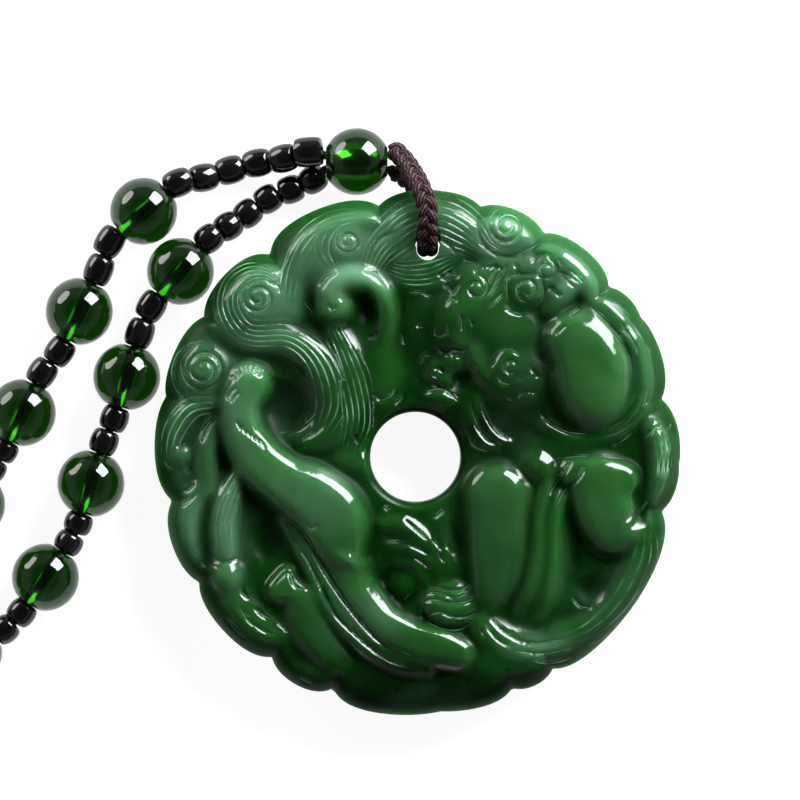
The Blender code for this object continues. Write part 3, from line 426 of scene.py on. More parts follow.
def body_and_tail(s):
    s.limb([(-15.9, 6.5, 2.2, 8.6), (-16.8, 4.4, 2.0, 8.7), (-16.5, 1.9, 2.1, 8.8),
            (-15.0, -0.7, 2.5, 8.9), (-12.6, -2.7, 2.7, 9.0), (-10.0, -4.3, 3.3, 9.0),
            (-8.2, -6.2, 3.6, 8.9), (-7.6, -8.4, 2.9, 8.5)], full=5.0, drop=2.6, blend=0.3)
    s.limb([(-7.6, -8.6, 2.4, 8.1), (-6.9, -10.8, 2.3, 8.1), (-5.8, -13.2, 2.3, 8.1),
            (-4.2, -15.4, 2.3, 8.0), (-2.4, -16.9, 1.9, 7.8)], full=2.8, drop=2.6, blend=0.3)
    s.limb([(-3.8, -16.1, 2.0, 7.8), (-1.0, -17.6, 2.0, 7.8), (2.0, -18.4, 1.9, 7.7),
            (3.7, -18.9, 1.6, 7.6)], full=7.0, drop=2.0, blend=0.3)
    s.boss(-6.9, -9.9, 1.9, 1.0, -30, 8.9, full=2.4, drop=1.2, blend=0.4)
    s.limb([(-12.7, -6.4, 0.7, 7.2), (-10.9, -8.8, 1.1, 7.5), (-9.3, -11.6, 1.3, 7.6),
            (-8.1, -14.0, 1.4, 7.6), (-6.2, -16.5, 1.4, 7.5), (-4.0, -18.4, 1.3, 7.3),
            (-1.4, -19.8, 1.1, 7.1), (1.0, -20.4, 0.8, 6.7)], full=5.0, drop=1.4, blend=0.3)
    s.limb([(-11.0, -13.6, 1.6, 7.6), (-10.6, -15.8, 2.3, 7.6), (-9.2, -18.0, 2.2, 7.1),
            (-7.6, -19.8, 1.8, 6.5)], 4)


def left_leg(s):
    s.limb([(-17.0, -1.6, 0.7, 7.2), (-17.8, -4.0, 1.4, 7.7), (-18.3, -6.6, 1.6, 7.9),
            (-18.2, -9.4, 1.5, 7.8)], 4)
    s.boss(-18.1, -11.6, 1.7, 1.8, 0, 7.9, drop=1.8)
    s.limb([(-17.6, -13.8, 1.4, 6.9), (-16.6, -15.3, 1.6, 6.9), (-15.0, -16.6, 1.6, 6.8),
            (-12.9, -17.4, 1.4, 6.7)], 2, 0.8)
    s.limb([(-12.3, -11.3, 0.9, 7.5), (-13.0, -12.9, 1.7, 7.5)], 5)
    s.limb([(-12.0, -12.4, 1.0, 7.5), (-11.2, -13.6, 1.6, 7.6), (-9.9, -13.6, 1.0, 7.3)], 5)


def centre_folds(s):
    s.limb([(-3.4, -6.7, 0.9, 6.6), (-1.6, -6.8, 1.1, 6.8), (0.2, -7.9, 1.0, 6.8),
            (1.7, -9.4, 0.8, 6.4)], 2, 1.2)
    s.limb([(-3.0, -8.6, 0.6, 6.4), (-0.9, -8.9, 0.8, 6.6), (0.9, -10.0, 0.8, 6.4),
            (1.9, -11.4, 0.6, 6.2)], drop=1.0)
    s.limb([(-2.2, -10.1, 0.5, 6.1), (-0.5, -10.7, 0.6, 6.2), (0.6, -12.0, 0.6, 6.0)], drop=0.9)
    s.boss(-1.4, -12.3, 1.8, 1.7, 0, 5.9, drop=1.2)
    s.limb([(2.2, -6.2, 1.0, 6.3), (2.5, -8.6, 1.0, 6.3), (2.9, -10.8, 1.2, 6.3)], drop=1.2)
    s.boss(3.0, -14.3, 3.0, 2.6, 0, 7.4, full=3.4, drop=2.2)


def right_legs(s):
    s.boss(11.4, -9.6, 3.4, 7.4, 0, 6.7, full=4.0, drop=1.6)
    s.limb([(7.4, -3.9, 3.0, 8.4), (7.3, -6.8, 2.8, 8.3), (7.0, -9.8, 2.3, 8.0), (6.8, -12.0, 1.9, 7.6),
            (6.5, -14.2, 1.4, 6.5)], full=6, drop=1.8)
    for band in (
            [(10.2, -3.4, 0.8, 7.4), (9.6, -6.4, 0.9, 7.6), (9.3, -9.1, 1.0, 7.6), (8.9, -11.4, 1.0, 7.4),
             (7.9, -14.0, 0.8, 6.5)],
            [(12.2, -3.0, 0.8, 7.4), (11.3, -6.0, 0.8, 7.6), (11.3, -9.1, 0.8, 7.7), (10.7, -12.4, 0.9, 7.5),
             (9.4, -15.2, 0.8, 6.5)],
            [(13.4, -4.0, 0.7, 7.5), (12.8, -7.0, 0.8, 7.7), (12.7, -10.0, 0.9, 7.7),
             (12.3, -13.0, 0.9, 7.5), (11.2, -15.8, 0.8, 6.5)]):
        s.limb(band, full=2.0, drop=1.3, blend=0.2)
    s.boss(11.3, -1.3, 2.6, 2.0, -30, 7.7, drop=2.4)
    s.limb([(14.6, -1.9, 1.6, 7.6), (17.0, -2.2, 2.2, 8.2), (19.2, -2.5, 1.8, 8.0)], full=6, drop=2.4)
    s.limb([(17.0, -3.0, 3.0, 8.2), (17.6, -5.4, 3.0, 8.4), (18.2, -7.4, 2.4, 8.2)], full=5, drop=2.2)
    s.boss(19.4, -7.7, 1.9, 1.0, 15, 8.2, full=2.4, drop=1.2, blend=0.4)


def lower_curl(s):
    s.limb([(20.4, -8.6, 1.0, 7.0), (20.2, -11.6, 1.8, 7.2), (18.9, -14.4, 2.0, 7.2),
            (16.4, -16.4, 1.8, 7.1), (13.2, -17.0, 1.4, 6.9)], 2.4, 1.6)
    s.limb([(5.6, -15.9, 1.1, 6.9), (7.2, -17.4, 1.6, 7.1), (9.8, -18.5, 1.8, 7.1),
            (12.4, -18.6, 1.7, 7.0), (15.2, -17.9, 1.2, 6.9)], 2.2, 0.9)


def egg_and_fin(s):
    s.limb([(22.2, 2.3, 1.5, 7.5), (23.0, 0.4, 1.8, 7.9), (22.9, -2.0, 1.7, 7.6),
            (22.0, -4.6, 1.2, 6.9)], 2.8)
    s.limb([(15.9, 14.9, 1.0, 7.2), (18.6, 13.1, 1.8, 7.6), (20.9, 10.4, 1.8, 7.6), (21.4, 7.2, 1.8, 7.4),
            (20.7, 4.2, 1.6, 7.1), (18.6, 1.9, 1.2, 6.8), (15.0, 1.3, 1.0, 6.6),
            (12.0, 2.6, 0.9, 6.6)], 3, 2.4)
    s.boss(16.2, 7.9, 4.1, 6.2, 9, 9.2, full=5.0, drop=3.0)
    s.limb([(14.6, 10.5, 3.1, 9.0), (15.5, 9.5, 3.3, 9.1), (16.8, 7.9, 3.5, 9.1)], full=6.0, drop=3.0)
    s.limb([(5.4, 5.0, 0.7, 6.5), (6.1, 3.0, 0.8, 6.7), (7.2, 1.6, 0.7, 6.7), (8.6, 0.8, 0.6, 6.4)],
            drop=1.2)
    s.limb([(4.5, 4.2, 0.7, 6.4), (5.0, 2.2, 0.8, 6.6), (6.2, 0.8, 0.7, 6.6), (7.4, 0.2, 0.6, 6.3)],
            drop=1.2)


def head(s):
    s.boss(6.0, 15.8, 3.4, 2.6, -15, 7.5, full=3.0, drop=2.4)
    s.limb([(6.6, 14.4, 2.2, 7.8), (4.4, 13.6, 2.0, 7.8), (3.2, 12.6, 1.7, 7.7),
            (2.4, 11.4, 1.4, 7.3)], 2.0, 1.2, 1.0)
    s.boss(7.9, 11.6, 4.5, 3.2, -8, 7.7, drop=1.7, blend=1.2)
    s.boss(3.9, 10.6, 1.6, 1.4, 0, 7.4, drop=1.6)
    s.boss(9.2, 7.5, 3.9, 3.2, -15, 7.7, full=2.4, drop=1.7, blend=1.2)
    s.boss(8.8, 8.2, 2.2, 2.0, 0, 7.9, drop=1.4)
    s.limb([(5.4, 9.6, 1.3, 7.5), (5.7, 8.2, 1.2, 7.4), (6.6, 7.0, 1.2, 7.2)], drop=2.0)
    s.boss(3.4, 8.6, 1.4, 1.0, -10, 7.0, drop=1.2)
    s.limb([(1.3, 8.3, 0.5, 6.9), (3.0, 7.7, 0.5, 6.8)], drop=1.0)
    s.limb([(1.0, 7.4, 0.5, 6.9), (2.8, 6.8, 0.5, 6.8)], drop=1.0)
    s.boss(2.1, 5.2, 2.0, 1.2, -10, 6.8, drop=1.4)
    s.boss(10.2, 15.3, 2.2, 2.0, 0, 7.8, full=3.4, drop=2.4)
    s.boss(12.0, 17.3, 1.8, 1.7, 0, 7.7, full=3, drop=2.4)
    s.boss(5.5, 15.6, 0.9, 0.9, 0, 7.9, drop=1.2)
    s.limb([(14.6, 16.0, 1.2, 7.6), (13.4, 14.8, 1.5, 7.7), (12.4, 13.4, 1.2, 7.5)], 3, 2.4)


def hair_lines(s):
    """Engraved curls and strands of the upper left."""
    curl = swirl(-15.0, 14.65, ((30, 2.5, 0.4), (70, 2.5, 0.7), (110, 2.6, 1.0), (150, 2.8, 1.1),
                                (190, 3.0, 1.2), (230, 3.3, 1.2), (262, 3.6, 1.2)))
    s.strands(curl + [(-12.4, 11.1, 1.3), (-10.2, 9.9, 1.4), (-8.7, 7.6, 1.6), (-8.2, 4.6, 1.7),
                      (-9.3, 1.9, 1.2)], 5)
    s.spiral(-15.0, 14.65, 1.8, 0.2, 40, 2.1)
    s.strands([(-8.2, 11.9, 1.0), (-7.0, 9.4, 1.2), (-6.0, 6.4, 1.4), (-5.6, 3.0, 1.3),
               (-6.4, 0.2, 1.0)], 5)
    s.strands([(-19.0, 4.6, 0.9), (-21.4, 4.2, 1.3), (-23.0, 2.0, 1.3), (-23.6, -0.6, 0.9)], 4)
    s.strands(swirl(-6.6, 19.9, ((95, 1.6, 0.3), (130, 2.0, 0.6), (170, 2.3, 0.9), (205, 2.6, 0.9),
                                 (240, 2.9, 0.5))), 3)
    s.spiral(-6.6, 19.9, 1.3, 0.2, 110, 1.8)
    s.strands([(-12.4, 14.4, 0.9), (-11.9, 17.4, 1.1), (-10.5, 20.2, 1.2), (-8.0, 22.0, 1.1),
               (-5.2, 22.5, 0.7)], 4)
    s.strands([(-4.4, 17.4, 1.2), (-3.3, 19.4, 1.7), (-0.6, 21.6, 2.1), (2.2, 21.9, 2.2),
               (4.6, 20.7, 1.9), (6.2, 19.3, 1.2), (7.8, 18.6, 0.7)], 7)
    s.spiral(8.4, 21.4, 0.2, 1.9, 120, -2.1)
    s.spiral(8.3, 21.3, 2.6, 3.0, 180, 0.4)
    s.spiral(-20.2, 7.9, 2.4, 0.2, 70, 2.6)
    s.spiral(-20.2, 7.7, 2.9, 3.2, 80, 0.55)
    s.scores([[(-14.1, 16.1), (-13.2, 15.8), (-12.9, 15.0)], [(-10.7, 14.2), (-10.1, 13.4), (-9.9, 12.6)],
              [(-13.0, 1.8), (-11.6, 2.2), (-10.5, 2.9), (-9.5, 3.9)],
              [(-11.0, 1.0), (-9.5, 2.0), (-8.7, 2.7)], [(-4.6, 18.8), (-3.6, 20.2), (-2.0, 20.9)],
              [(-2.8, 22.1), (-2.2, 22.9), (-0.9, 23.5)], [(2.0, 20.3), (3.0, 19.5), (3.6, 18.7)],
              [(10.4, 19.1), (11.0, 19.5), (11.5, 19.8)], [(-5.2, 17.2), (-3.8, 16.8), (-2.7, 15.3)]])
    s.scores([[(-8.5, 14.1), (-8.1, 13.5), (-7.6, 14.1)], [(-9.3, 15.6), (-8.6, 16.5), (-7.6, 17.1)]])
    s.strands([(-3.0, 17.4, 0.7), (-1.0, 16.8, 1.1), (1.2, 17.0, 1.2), (3.4, 18.0, 0.9)], 5)


def rim_lines(s):
    """Engraved lines along the rim."""
    s.scores([[(-23.5, 3.5), (-22.6, 4.4), (-21.4, 4.7)], [(-20.3, 0.9), (-19.8, 2.3), (-19.0, 3.2)],
              [(-20.6, 2.0), (-20.0, 3.0), (-19.1, 3.8)], [(-22.8, 0.5), (-22.3, 0.9), (-21.8, 1.0)],
              [(-24.0, -0.6), (-23.7, -1.2), (-23.2, -1.5)], [(-22.0, -1.7), (-21.7, -1.6), (-21.4, -1.3)],
              [(-22.1, -3.7), (-21.6, -3.3), (-21.0, -2.9)], [(-22.3, -5.0), (-21.4, -4.4), (-20.6, -3.5)],
              [(-21.1, -8.8), (-20.8, -10.0), (-20.1, -10.9)],
              [(-11.2, -21.2), (-10.6, -21.6), (-10.0, -21.8)], [(18.3, 0.7), (19.3, 1.2), (20.3, 2.0)],
              [(21.4, 1.4), (22.0, 2.0), (22.6, 2.7)], [(19.4, -6.5), (20.0, -5.9), (20.4, -5.2)],
              [(20.5, -6.2), (21.2, -5.3), (21.8, -4.3)], [(14.5, -13.5), (15.3, -14.4), (16.3, -14.6)],
              [(17.0, 14.8), (17.5, 15.1), (18.0, 15.3)]])
    for step in range(3):
        s.score([(22.6 + 0.5 * step, 2.2), (22.9 + 0.5 * step, 2.8)], 0.3)
        s.score([(22.3 + 0.5 * step, 1.4), (22.6 + 0.5 * step, -0.4), (22.5 + 0.4 * step, -2.4)])
    s.strands([(21.6, -7.2, 1.0), (21.4, -10.2, 1.6), (19.4, -14.2, 1.7), (16.4, -16.9, 1.4),
               (13.6, -17.8, 0.9)], 4, 0.02)


def limb_lines(s):
    """Claw ticks, tail grooves and the lower left leg."""
    for step in range(7):
        angle = math.radians(50 + 100 * step / 6)
        c, r = math.cos(angle), math.sin(angle)
        s.score([(-15.9 + 1.2 * c, 6.3 + 1.2 * r), (-15.9 + 1.6 * c, 6.3 + 1.6 * r),
                 (-15.9 + 2.0 * c, 6.3 + 2.0 * r)])
    for step in range(6):
        x, y = -17.2 + 0.45 * step, 3.0 - 0.34 * step
        s.score([(x, y), (x + 0.35, y - 0.45), (x + 0.6, y - 1.0)], 0.16)
    s.strands([(-17.0, -2.6, 0.6), (-17.8, -4.6, 0.9), (-18.3, -6.8, 1.0), (-18.2, -9.2, 0.9)], 4, 0.02)
    s.scores([[(-18.0, 5.0), (-17.6, 5.7), (-17.0, 6.2)], [(-17.6, 4.6), (-17.2, 5.3), (-16.7, 5.8)],
              [(-13.0, 7.2), (-12.8, 7.5), (-12.5, 7.8)], [(-11.2, 7.8), (-10.8, 7.6), (-10.4, 7.2)],
              [(-10.6, -6.8), (-10.0, -7.1), (-9.3, -6.7)]])
    s.score([(-13.0, -5.9), (-11.0, -7.3), (-9.2, -10.3), (-7.3, -13.3), (-5.0, -16.3), (-3.2, -18.0),
             (-0.3, -19.2)], 0.34, 0.24)
    s.score([(-12.3, -7.5), (-10.5, -10.0), (-9.2, -12.4), (-7.8, -15.2), (-6.0, -17.0), (-3.0, -19.5),
             (0.0, -20.5)], 0.3, 0.22)
    s.scores([[(-8.9, -12.6), (-8.6, -13.4), (-8.3, -14.1)], [(-16.9, -1.9), (-17.6, -3.0), (-18.0, -4.0)],
              [(-16.5, -3.2), (-17.5, -5.5), (-18.2, -6.9)], [(-16.8, -2.0), (-16.2, -2.8), (-15.7, -3.4)],
              [(-19.7, -9.9), (-18.2, -10.3), (-16.8, -9.9)],
              [(-16.9, -14.3), (-16.0, -15.8), (-14.5, -16.8), (-13.3, -17.2)],
              [(-16.4, -12.4), (-16.5, -13.0), (-16.0, -13.8)],
              [(-15.3, -14.6), (-14.7, -15.2), (-14.1, -15.6)],
              [(-13.2, -15.9), (-12.5, -16.5), (-12.4, -17.0)],
              [(-18.2, -15.5), (-17.0, -17.0), (-15.9, -17.8)],
              [(-13.6, -12.6), (-12.3, -11.3), (-11.6, -12.5), (-10.8, -12.9)]])


def centre_lines(s):
    """Folds and the wrinkled paw below the centre hole."""
    s.scores([[(-1.3, -6.3), (0.0, -7.4), (0.9, -8.2)],
              [(-3.1, -8.5), (-1.6, -8.5), (0.0, -9.0), (1.3, -9.8)],
              [(-0.75, -9.6), (0.3, -10.2), (1.2, -11.0)], [(1.8, -9.4), (2.2, -9.9), (2.5, -10.4)],
              [(1.6, -8.1), (2.0, -8.7), (2.3, -9.3)], [(2.5, -8.5), (3.0, -9.0), (3.5, -9.5)],
              [(-3.1, -12.7), (-2.7, -13.2), (-2.2, -13.5)], [(-1.4, -13.8), (-1.0, -13.5), (-0.7, -13.2)],
              [(-1.0, -10.8), (-0.6, -11.0), (-0.2, -11.4)], [(-3.2, -4.9), (-2.9, -5.2), (-2.6, -5.4)],
              [(1.3, -6.2), (2.0, -5.8), (2.5, -5.4)]])
    s.scores([[(0.8, -12.7), (1.8, -12.6), (2.8, -12.9), (4.1, -12.9), (5.0, -12.2)],
              [(0.7, -13.4), (1.4, -13.1), (2.3, -13.2), (3.4, -13.6), (4.8, -13.2)],
              [(0.5, -14.1), (1.2, -13.8), (2.1, -13.9), (3.4, -14.1), (4.8, -13.9), (5.8, -13.0)],
              [(0.9, -15.3), (2.1, -15.0), (3.2, -15.4), (4.7, -15.4), (5.9, -14.7)],
              [(0.2, -14.4), (0.7, -15.7), (2.2, -16.5), (3.9, -16.6), (5.2, -15.8)]], 0.26, 0.2)


def right_lines(s):
    """Folds beside the thick leg, the tail's hair, and the bands round the egg."""
    s.scores([[(12.3, -4.0), (13.2, -2.6), (14.6, -0.8)],
              [(12.9, -5.3), (13.7, -3.7), (15.0, -2.4), (15.8, -1.2)]], 0.32, 0.2)
    s.scores([[(13.0, -0.5), (16.0, -0.3), (19.7, -0.6)],
              [(6.9, -15.7), (8.3, -17.0), (10.5, -17.9), (14.0, -17.5)],
              [(6.2, -16.0), (7.5, -17.6), (9.0, -18.4)], [(9.2, -18.7), (12.0, -18.9), (14.7, -18.3)],
              [(10.5, -19.6), (12.5, -19.9), (14.5, -19.4)], [(5.6, -16.3), (6.0, -16.9), (6.3, -17.4)],
              [(16.0, 14.0), (18.5, 11.5), (19.8, 9.5), (20.2, 7.0)],
              [(17.7, 14.4), (19.5, 13.0), (21.0, 11.0), (21.7, 9.8), (22.0, 8.5)],
              [(18.8, 12.6), (20.2, 10.5), (20.8, 9.1)],
              [(11.3, 4.1), (12.5, 2.8), (14.2, 2.0), (16.0, 1.8)],
              [(17.4, 1.4), (19.5, 2.3), (21.0, 4.2), (21.6, 6.0)],
              [(17.3, 2.2), (19.0, 2.9), (20.3, 4.5), (20.8, 6.0)],
              [(12.9, 11.0), (13.4, 11.6), (14.0, 12.1)], [(14.3, 12.9), (14.8, 13.3), (15.3, 13.6)]])


def head_lines(s):
    """Brow, eye, nose, mouth, beard, ear and curls of the dragon's head."""
    s.scores([[(8.4, 17.8), (7.6, 16.8), (7.0, 15.5), (6.3, 14.5)], [(8.0, 15.1), (7.3, 14.4), (6.5, 13.7)],
              [(3.95, 16.0), (3.2, 15.1), (2.5, 13.7)], [(3.1, 14.7), (3.4, 14.4), (3.7, 14.3)],
              [(1.6, 11.9), (1.6, 11.2), (2.1, 11.0), (2.8, 11.4), (2.8, 12.0)],
              [(3.9, 13.2), (4.1, 12.3), (4.1, 11.5)],
              [(1.5, 10.2), (2.5, 9.4), (3.3, 9.7), (4.1, 9.55), (4.7, 9.9)],
              [(5.0, 8.7), (5.3, 8.3), (5.5, 7.9)], [(0.2, 8.3), (0.6, 9.2), (1.2, 9.1)],
              [(1.7, 8.2), (2.3, 7.9), (2.9, 7.6)], [(1.2, 7.3), (1.8, 7.1), (2.3, 6.8)],
              [(0.4, 5.4), (1.4, 6.0), (2.6, 5.9), (3.8, 4.8)],
              [(6.5, 7.0), (7.0, 8.3), (7.6, 9.4), (8.2, 9.8), (8.9, 9.7), (9.7, 9.1)],
              [(7.35, 7.25), (8.0, 6.6), (8.7, 6.4)], [(10.4, 8.2), (11.0, 7.6), (11.4, 7.0)],
              [(11.5, 9.1), (12.2, 8.3), (12.7, 7.25)], [(8.3, 5.2), (8.5, 5.0), (8.8, 4.9)],
              [(9.4, 5.1), (10.1, 5.7), (11.5, 5.55)], [(8.1, 13.8), (8.9, 13.3), (9.9, 13.1)],
              [(10.7, 17.6), (11.2, 18.5), (12.0, 18.7), (12.9, 18.0), (13.3, 16.9)],
              [(13.3, 16.7), (14.1, 16.2), (14.8, 15.5)], [(14.2, 17.3), (15.0, 16.7), (15.6, 15.9)],
              [(12.9, 18.6), (13.3, 18.1), (13.6, 17.6)], [(12.4, 15.7), (13.0, 15.3), (13.6, 14.7)],
              [(5.3, 16.9), (5.7, 17.3), (6.2, 17.6)], [(4.2, 18.2), (5.0, 18.0), (5.8, 17.9)],
              [(1.9, 17.0), (2.4, 16.5), (3.1, 16.2)], [(2.6, 17.1), (3.2, 16.8), (3.9, 16.7)],
              [(2.2, 16.0), (2.9, 15.6), (3.4, 15.1)], [(6.4, 17.4), (7.2, 17.6), (8.0, 17.3)],
              [(7.6, 17.9), (6.9, 16.9), (6.4, 15.9)], [(9.0, 17.9), (9.4, 17.3), (9.2, 16.6)],
              [(13.0, 17.0), (14.2, 16.7), (15.3, 15.9)], [(12.2, 15.6), (12.9, 15.2), (13.5, 14.6)],
              [(0.1, 12.6), (0.0, 12.0), (0.4, 11.8)], [(4.8, 12.6), (5.0, 12.3), (5.1, 11.9)],
              [(3.1, 9.0), (3.5, 9.3), (4.0, 9.1)], [(1.4, 7.9), (2.0, 7.9), (2.6, 7.6)],
              [(1.2, 6.4), (1.9, 6.3), (2.5, 5.9)], [(9.2, 6.9), (10.0, 7.2), (10.4, 7.7)],
              [(4.8, 4.8), (5.5, 2.8), (6.5, 1.3), (8.0, 0.65)],
              [(6.0, 5.0), (6.7, 3.3), (7.4, 2.1), (8.5, 1.2)],
              [(4.4, 2.0), (5.0, 1.0), (5.7, 0.4), (6.7, 0.1)],
              [(-4.3, 5.6), (-3.5, 5.0), (-2.5, 5.4), (-2.0, 6.2)], [(-2.2, 4.5), (-1.5, 5.1), (-1.3, 5.7)],
              [(-6.1, 1.8), (-5.8, 1.3), (-5.5, 0.8)], [(-1.5, 11.6), (-1.4, 10.9), (-1.3, 10.2)],
              [(-4.6, 10.7), (-4.2, 11.1), (-3.8, 11.4)],
              [(-0.9, 15.1), (0.2, 15.1), (1.0, 14.9), (1.6, 15.0)]])
    s.spiral(5.5, 15.6, 0.4, 1.2, 0, 1.3)
    s.spiral(10.3, 15.4, 0.4, 1.4, 200, 1.4)
    s.spiral(12.1, 17.3, 0.35, 1.1, 0, 1.3)
    s.spiral(8.8, 8.2, 0.4, 0.8, 0, 0.9)
    s.score([(8.5, 14.2), (8.4, 16.2), (9.2, 16.8), (11.0, 16.8), (11.7, 16.2), (11.7, 14.4),
             (11.0, 13.8)])


FORMS = (broad_masses, rim_lobes, hair, hollows, horn_curl, body_and_tail, left_leg,
         centre_folds, right_legs, lower_curl, egg_and_fin, head)
LINES = (hair_lines, rim_lines, limb_lines, centre_lines, right_lines, head_lines)


def blurred(field, sigma):
    """Gaussian blur of a square grid of values, sigma in grid steps."""
    reach = math.ceil(3 * sigma)
    weight = np.exp(-0.5 * (np.arange(-reach, reach + 1) / sigma) ** 2)
    weight /= weight.sum()
    for axis in (0, 1):
        padded = np.pad(field, [(reach, reach) if k == axis else (0, 0) for k in (0, 1)], "edge")
        rows = np.arange(field.shape[axis])
        field = sum(w * np.take(padded, rows + k, axis) for k, w in enumerate(weight))
    return field


def grid_places():
    line = np.arange(-LOBE_RADIUS - 2, LOBE_RADIUS + 2, GRID)
    return np.meshgrid(line, line, indexing="ij")


def sample(field, x, y):
    """Smooth value of a grid at the points x, y."""
    u, v = (x + LOBE_RADIUS + 2) / GRID, (y + LOBE_RADIUS + 2) / GRID
    i, j = np.floor(u).astype(int), np.floor(v).astype(int)

    def weights(t):
        return (0.5 * t * (t * (2 - t) - 1), 0.5 * (t * t * (3 * t - 5) + 2), 0.5 * t * (t * (4 - 3 * t) + 1),
                0.5 * t * t * (t - 1))
    total = 0.0
    last = field.shape[0] - 1
    for a, wu in enumerate(weights(u - i)):
        for b, wv in enumerate(weights(v - j)):
            total = total + wu * wv * field[np.clip(i + a - 1, 0, last), np.clip(j + b - 1, 0, last)]
    return total


def carved_field():
    """Heights of the carved forms on a grid, their steps lowered and their edges polished soft."""
    gx, gy = grid_places()
    s = Relief(gx.ravel(), gy.ravel())
    for carve in FORMS:
        carve(s)
    z = s.z.reshape(gx.shape)
    z = np.where(z < SHOULDER, LEVEL + (z - GROUND) * LOW_SHARE,
                 LEVEL + (SHOULDER - GROUND) * LOW_SHARE + (z - SHOULDER) * HIGH_SHARE)
    mass = blurred(z, MASS_REACH / GRID)
    return blurred(mass + FORM_SHARE * (z - mass), POLISH / GRID)


FIELD = carved_field()


def front_height(x, y):
    s = Relief(x, y)
    s.z = sample(FIELD, x, y)
    for carve in LINES:
        carve(s)
    inside = np.clip((outline(np.arctan2(y, x)) - np.hypot(x, y)) / RIM_ROUND, 0, 1)
    z = SEAM + (s.z - SEAM) * (1 - (1 - inside) ** 2) ** RIM_POWER
    off_hole = np.clip((np.hypot(x - HOLE[0], y - HOLE[1]) - HOLE_RADIUS) / HOLE_ROUND, 0, 1)
    return z - HOLE_ROUND * (1 - np.sqrt(1 - (1 - off_hole) ** 2))


def back_height(x, y):
    t = np.clip((np.hypot(x, y) - BACK_FLAT) / (BACK_OUTER - BACK_FLAT), 0, 1)
    z = BACK_LIFT * t * t * (3 - 2 * t)
    inside = np.clip((outline(np.arctan2(y, x)) - np.hypot(x, y)) / BACK_ROUND, 0, 1)
    return SEAM + (z - SEAM) * np.sqrt(1 - (1 - inside) ** 2)


def row_depths(span, spacing, rim, hole):
    """Distances in from the outline of the rows of one face, closer together where its edges are rounded."""
    outer = rim * (1 - np.cos(np.linspace(0, math.pi / 2, max(5, round(rim / spacing)) + 1)))
    inner = span - hole * (1 - np.cos(np.linspace(math.pi / 2, 0, max(4, round(hole / spacing)) + 1)))
    count = max(2, round((inner[0] - outer[-1]) / spacing))
    between = np.linspace(outer[-1], inner[0], count + 1)[1:-1]
    return np.concatenate([outer, between, inner])


def row_points(depth, span, count):
    """Points of one row, between the outline and the centre hole."""
    angle = 2 * math.pi * np.arange(count) / count
    share = 1 - depth / span
    out = outline(angle)
    x = HOLE[0] + HOLE_RADIUS * np.cos(angle)
    y = HOLE[1] + HOLE_RADIUS * np.sin(angle)
    return x + (out * np.cos(angle) - x) * share, y + (out * np.sin(angle) - y) * share


def zip_rows(outer, inner):
    """Triangles between two rings of vertex numbers that start at the same angle."""
    faces = []
    i = j = 0
    while i < len(outer) or j < len(inner):
        a, b = outer[i % len(outer)], inner[j % len(inner)]
        if (i + 1) * len(inner) <= (j + 1) * len(outer):
            i += 1
            faces.append((a, outer[i % len(outer)], b))
        else:
            j += 1
            faces.append((a, inner[j % len(inner)], b))
    return faces


def face_rows(height, spacing, rim, hole, first, last, start):
    """Vertices and triangles of one face of the disc; first and last are the counts of its edge rows."""
    span = LOBE_RADIUS - HOLE_RADIUS
    depths = row_depths(span, spacing, rim, hole)
    counts = [round(2 * math.pi * (LOBE_RADIUS - depth) / spacing) for depth in depths]
    counts[0], counts[-1] = first, last
    x, y = np.hstack([row_points(depth, span, count) for depth, count in zip(depths, counts)])
    starts = start + np.cumsum([0] + counts)
    rings = [list(range(a, b)) for a, b in zip(starts, starts[1:])]
    faces = []
    for outer, inner in zip(rings, rings[1:]):
        faces += zip_rows(outer, inner)
    return x, y, height(x, y), faces, rings


def unit(rows):
    return rows / np.linalg.norm(rows, axis=1)[:, None]


def tube(middle, out, radius, sides):
    """Places and faces of a closed tube round a line; out is square to the line at each of its places."""
    side = np.cross(out, unit(np.gradient(middle, axis=0)))
    angle = (2 * math.pi * np.arange(sides) / sides)[:, None]
    places = middle[:, None] + radius * (out[:, None] * np.cos(angle) + side[:, None] * np.sin(angle))
    end = (len(middle) - 1) * sides
    faces = [(k + s, k + sides + s, k + sides + (s + 1) % sides, k + (s + 1) % sides)
             for k in range(0, end, sides) for s in range(sides)]
    faces += [tuple(range(sides)), tuple(range(end + sides - 1, end - 1, -1))]
    return places.reshape(-1, 3), faces


def turn_in_bore():
    """The loop's half circle through the bore, seen from the side, front end first."""
    radius = (LOOP_TOP - LOOP_LOW) / 2
    places = []
    for k in range(TURN_STEPS + 1):
        angle = math.radians(90 + 180 * k / TURN_STEPS)
        y, z = BORE[1] + radius * (1 + math.cos(angle)), LOOP_LOW + radius * (1 + math.sin(angle))
        places.append((BORE[0], y, z))
    return places


def put(name, data):
    thing = bpy.data.objects.new(name, data)
    bpy.context.scene.collection.objects.link(thing)
    return thing


def cut(target, name, line, radius, sides):
    """Cut a tube along a line that keeps its X out of the target."""
    places, faces = tube(np.array(line), np.tile((1.0, 0.0, 0.0), (len(line), 1)), radius, sides)
    mesh = bpy.data.meshes.new(name)
    mesh.from_pydata([at(*place) for place in places], [], faces)
    cutter = put(name, mesh)
    difference = target.modifiers.new(name, "BOOLEAN")
    difference.operation = "DIFFERENCE"
    difference.solver = "EXACT"
    difference.object = cutter
    bpy.context.view_layer.update()
    graph = bpy.context.evaluated_depsgraph_get()
    mesh = bpy.data.meshes.new_from_object(target.evaluated_get(graph))
    target.modifiers.clear()
    target.data = mesh
    bpy.data.objects.remove(cutter, do_unlink=True)


def add(name, data, *finishes):
    """A visible piece of the part."""
    thing = put(name, data)
    for finish in finishes:
        data.materials.append(finish)
    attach(thing, "root")
    return thing


